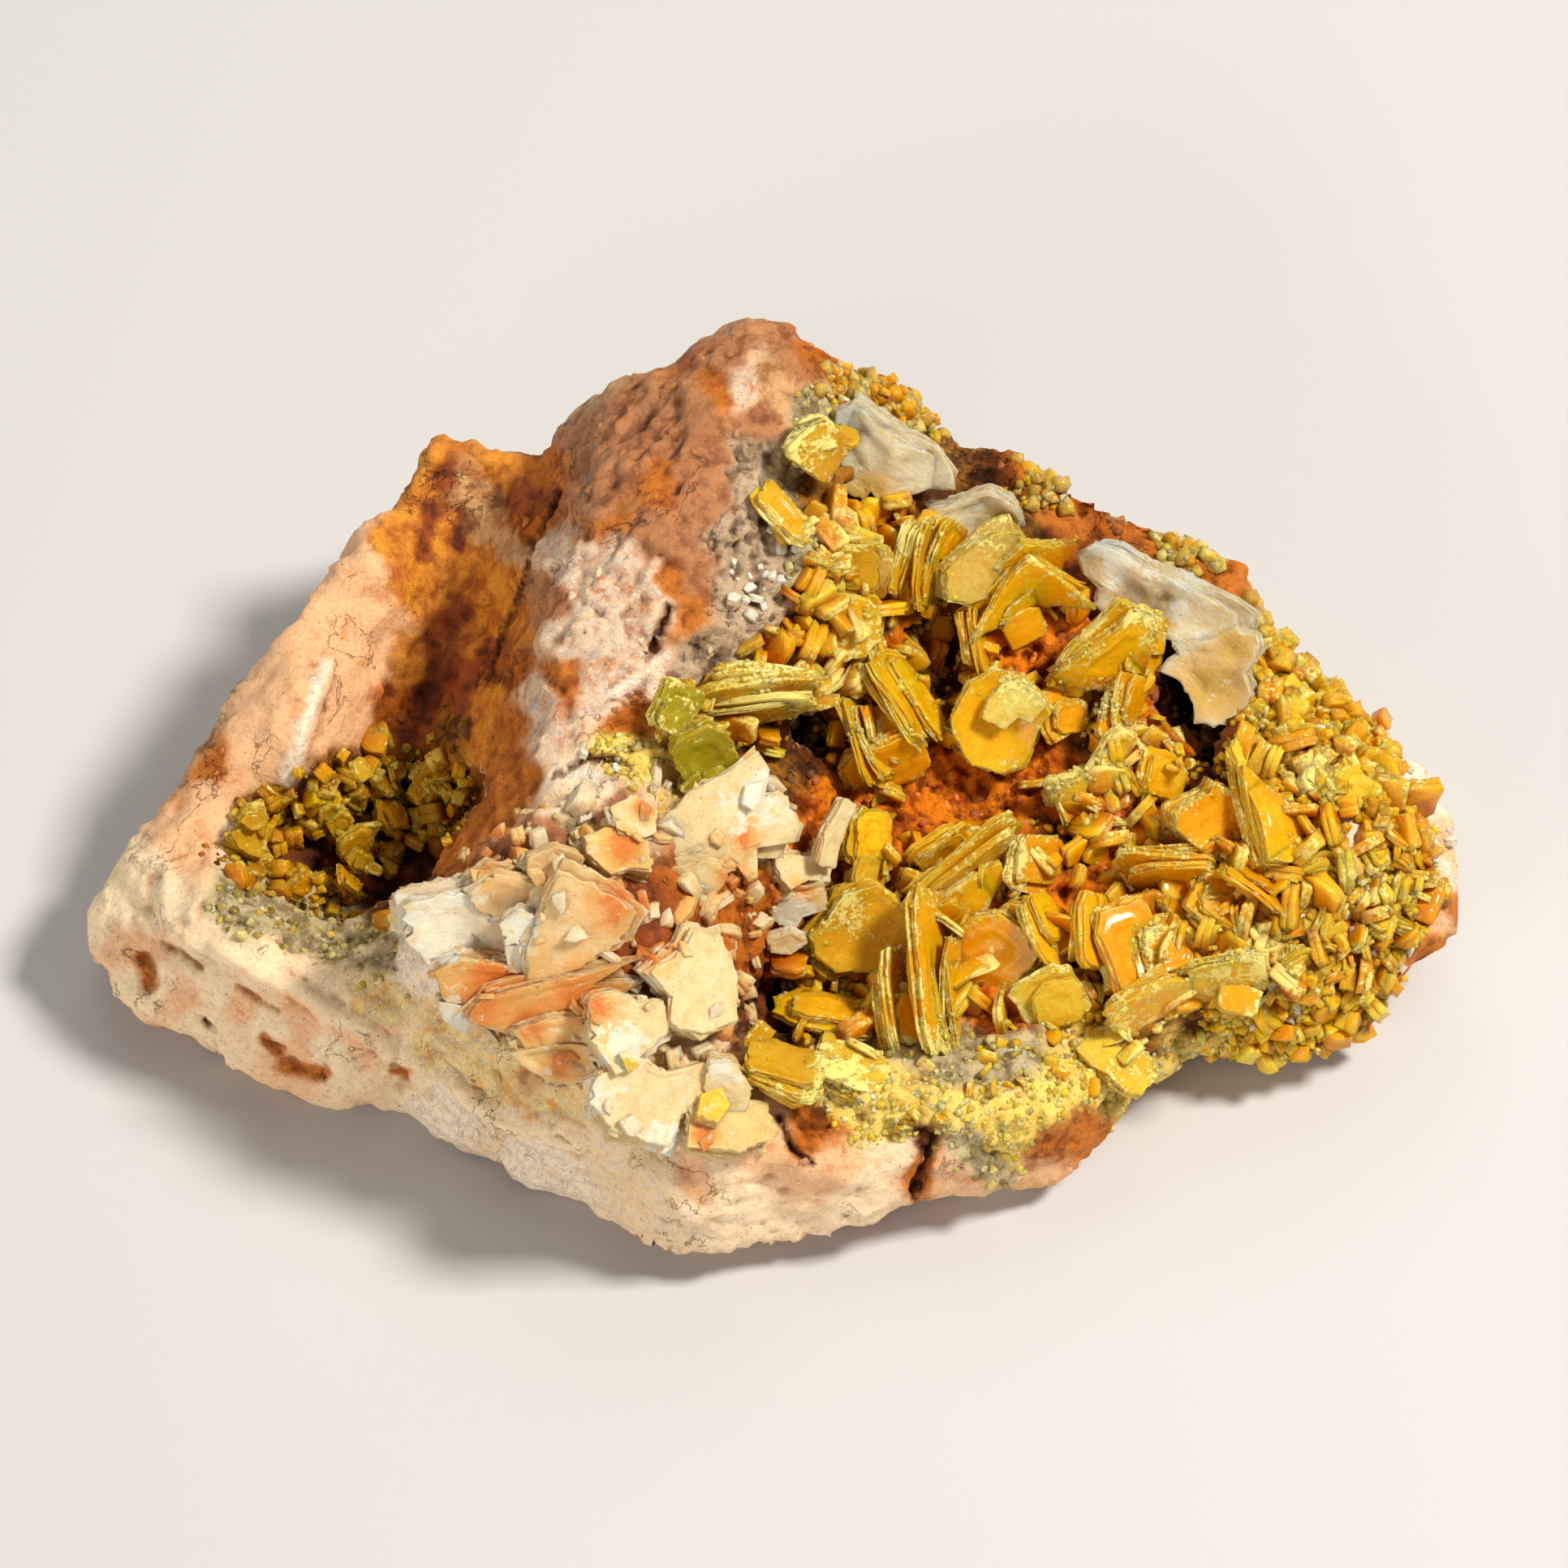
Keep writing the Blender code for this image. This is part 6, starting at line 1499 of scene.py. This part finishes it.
# Where iron has stained the barite, and where it is clear and white: x, y and radius on the face.
IRON_SPOTS = [
    (-14.4, -2.8, 2.6), (-7.9, -5.6, 2.8), (-6.6, -8.2, 2), (-13.9, -9.3, 2.4), (-14.6, -10.9, 1.8),
    (-12.1, -11.6, 1.8), (-5.6, -7.6, 1.5), (-7.7, -3, 1.9), (-5.8, -4.2, 1.2), (-6.7, -1.2, 1.5), (-2.4, -12.6, 1.6),
    (-2.6, -4.6, 1.6), (-10.6, -13.2, 2), (-9.5, -10.4, 2.8), (-2, -2.6, 1.5), (0.9, -5.2, 1.2), (20.8, 4.6, 3),
    (22, 6.6, 2), (18.6, 8.4, 1.6), (4.2, 14.2, 1.8), (10.4, 12.6, 1.6), (1.8, 15, 1.2), (-4, -16.8, 1.6),
]
WHITE_SPOTS = [
    (-15.8, -5.5, 1.6), (-16.5, -7.5, 2.4), (-17.7, -6.3, 2), (-12.5, -6.7, 1.4), (-12.9, -8.2, 1), (-7.5, -12.5, 2),
    (-6.4, -9.6, 1.2), (-2.9, -13.8, 1.2), (-5.6, -16.9, 1.5), (-1.6, -0.8, 2.2), (2.9, 17.4, 1.8), (16.4, 11.2, 2.2),
    (-9, -14.8, 1.6), (19.5, 9.4, 2), (-15.8, -11.4, 1.4), (0.6, -6.4, 1.6),
]
STAINED = {"iron": IRON_SPOTS, "sugar": WHITE_SPOTS}
cream = barite_finish("cream_barite", srgb(250, 216, 158), srgb(255, 242, 216), srgb(240, 126, 10), 0.05, 0.40)
fan = blades.build("barite_fan", cream, slot="cream_barite", replaces=("barite_blades",), painted=STAINED)

# %% [markdown]
# ## Flakes on the sheets
# Barite cleaves into thin flakes. Some lie flat on the fan's upper sheets. A few near-white chips among the druse
# round the hollow are painted glints, standing in for sparkles of light.

# %% Flakes on the sheets
# Where near-white chips lie as painted glints: x, y and radius on the face.
GLINTS = [(28, -8, 3), (31, -3, 2), (24, -10.5, 3), (0.4, 12.6, 1.6), (26.4, 3.6, 2), (29.6, 0.4, 2),
          (-1.6, 9.6, 1.6), (12.2, 9.8, 1.2), (-8.8, 1, 1.2)]
surface = surface_of(fan)
ragged = ease(layered_noise(surface.places, 1.6, 3, 0.6, seed=75), -0.1, 0.4)
flakes = Growth()
sow(flakes, CHIPS, surface, ragged * ease(surface.places[:, 2], 1.0, 2.5), 170, chance_barite,
    ((0.5, 1.6), (0.4, 0.9), (0.2, 0.35)), ("shell", "fan", "frosted"), 0.3, 0.2, flat=True, apart=0.4, spread=0)
# Near-white chips among the druse, as painted glints.
sow(flakes, CHIPS, rock_surface, upward * ease(near_spots(places, GLINTS), 0.0, 0.4), 260, chance_barite,
    ((0.2, 0.8), (0.6, 1.0), (0.4, 0.7)), ("glint",), 1.0, spread=0)
flakes.build("barite_flakes", cream, slot="cream_barite", painted=STAINED)

# %% [markdown]
# ## Pale plates
# Four large, nearly white barite plates lie along the hollow's upper edge and down its right. Each is a node of its
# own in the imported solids, so each is a piece of its own here: a drawn book of two layers, the most warped of all.

# %% Pale plates
PALE_PLATES = {
    "pale_plate_top": Drawn("pale", -6.1, -12, 26, 0.55, 2, [(1.15, 15.1), (1.4, 16), (2.35, 16.75), (2.65, 17.7),
        (3.6, 18.4), (4.6, 17.55), (5.7, 16.75), (7, 16.1), (7.95, 15.1), (7.95, 14.35), (6.65, 14.2), (5.85, 13.9),
        (5.05, 13.4), (4.1, 13.7), (4.25, 14.35), (2.8, 14.6), (1.85, 14.35), (1.2, 14.65)]),
    "pale_plate_middle": Drawn("pale", -7.6, 12, 30, 0.5, 2, [(7, 13.55), (7.95, 13.7), (8.9, 14), (10, 14.35),
        (11.1, 14), (11.6, 13.05), (11.45, 12.4), (10.8, 12.3), (10, 12.6), (9.2, 11.95), (8.4, 11.8), (7.95, 12.6),
        (7.1, 13.05)]),
    "pale_plate_right": Drawn("pale", -7.4, -38, 24, 0.55, 2, [(14.4, 11.4), (15.4, 11.85), (16.5, 11.55),
        (17.65, 10.8), (18.95, 10.15), (20.2, 9.5), (21.2, 9), (22.1, 8.4), (22.1, 7.4), (20.85, 6.95), (19.55, 7.1),
        (18.3, 7.25), (17.2, 8.4), (15.9, 8.4), (15.25, 9), (15.5, 9.8), (14.6, 10.45)]),
    "pale_plate_edge": Drawn("pale", -7.2, -50, 22, 0.55, 2, [(18.95, 7.1), (20.85, 7.1), (22.1, 7.7), (22.95, 7.25),
        (23.25, 6.45), (22.6, 5.5), (22.95, 4.4), (22.3, 3.25), (21.2, 2.95), (20.2, 3.1), (20.2, 4.1), (19.25, 5.2),
        (18.3, 5.65), (19.25, 6.45)]),
}
pale = barite_finish("pale_barite", srgb(252, 238, 200), srgb(252, 244, 222), srgb(222, 180, 76), 0.06, 0.22, 0.16)
rng = random.Random(SEED + 2)
for name, drawn in PALE_PLATES.items():
    growth = Growth()
    grow_drawn(growth, drawn, rng, 0.05, 0.07, step=0.08, warp=0.6, bend=0.03, jag=0.03)
    sheet = growth.build(name + "_sheet", pale, slot="pale_barite", replaces=(name,), painted=STAINED)
    sheet.data.shade_smooth()

# %% [markdown]
# ## Crystals of the left pocket
# A second, smaller pocket at the left holds olive crystals, darkened as painted shade: chunky ones grown by the
# same stacks, tablets and chips between them, and grains and sugar over all. Its deepest corners stay dark and bare.

# %% Pocket crystals
POCKET_CRYSTALS = [
    (-26, -2.2, -7.4, 2.2, 2, 1.4, 70, 30), (-21.2, -3.2, -10.6, 2.1, 2, 1.4, 40, 40),
    (-22.4, -1.6, -11, 1.8, 1.7, 1, 20, 45), (-19.5, -1.7, -12.4, 1.8, 1.6, 1, 110, 50),
    (-23.8, -4.9, -8.9, 1.6, 1.5, 1, 60, 50), (-17.5, 0.2, -12.1, 1.8, 1.5, 0.9, 30, 40),
    (-21.4, -4.8, -10.2, 1.5, 1.3, 0.8, 120, 60), (-24.6, -0.6, -9, 1.7, 1.3, 0.7, 10, 65),
    (-20, 0.4, -12.2, 1.7, 1.3, 0.7, 140, 62),
]
POCKET_DARK = [(-17.4, -4.9, 2.6), (-20.4, -5.6, 1.8), (-23.4, -3.4, 1.4)]
olive = crystal_finish("olive_wulfenite", srgb(224, 186, 50), srgb(232, 206, 104))
pocket = Growth()
rng = random.Random(SEED + 3)
# The pocket's crystals take their hues darkened to 0.8, as painted shade.
for row in POCKET_CRYSTALS:
    crystal = Crystal(*row)
    grow_crystal(pocket, crystal, HUES[rng.choice(("olive", "amber"))] * 0.8, rng, 3, 9.0, 0.12, chip_outline)
    grow_satellites(pocket, crystal, HUES[rng.choice(("olive", "honey"))] * 0.8, rng, 4)
pocket_floor = ease(depth_inside(rock_surface.places, POCKET), -0.6, 0.8) * ease(facing, -0.1, 0.3)
pocket_floor *= 1 - ease(near_spots(places, POCKET_DARK), 0.0, 0.4)
# The pocket's tablets, grains and sugar are darkened by shade, as painted shade.
sow(pocket, CHIPS + TABLETS, rock_surface, pocket_floor, 260, chance, ((0.5, 1.5), (0.6, 1.0), (0.4, 0.8)),
    ("olive", "amber", "honey"), 0.9, apart=0.7, spread=0.3, shade=0.75)
sow(pocket, [GRAIN], rock_surface, pocket_floor, 700, chance, ((0.15, 0.5), (0.7, 1.1), (0.5, 0.9)),
    ("olive", "orange", "umber"), 1.0, 0.25, spread=0.2, shade=0.6)
pocket_object = pocket.build(
    "pocket_crystals", olive, slot="pocket_wulfenite", replaces=("left_pocket_crust",), painted=PAINTED)

# %% Sugar in the pocket
pocket_sugar = Growth()
sow(pocket_sugar, [SUGAR], *sugar_over(pocket_object, 73, -0.1, 0.4), 1200, chance,
    ((0.10, 0.34), (0.7, 1.1), (0.6, 1.0)), ("olive", "straw", "honey"), 1.0, 0.2, spread=0.15, shade=0.85)
pocket_sugar.build("pocket_sugar", olive, slot="pocket_wulfenite", painted=PAINTED)
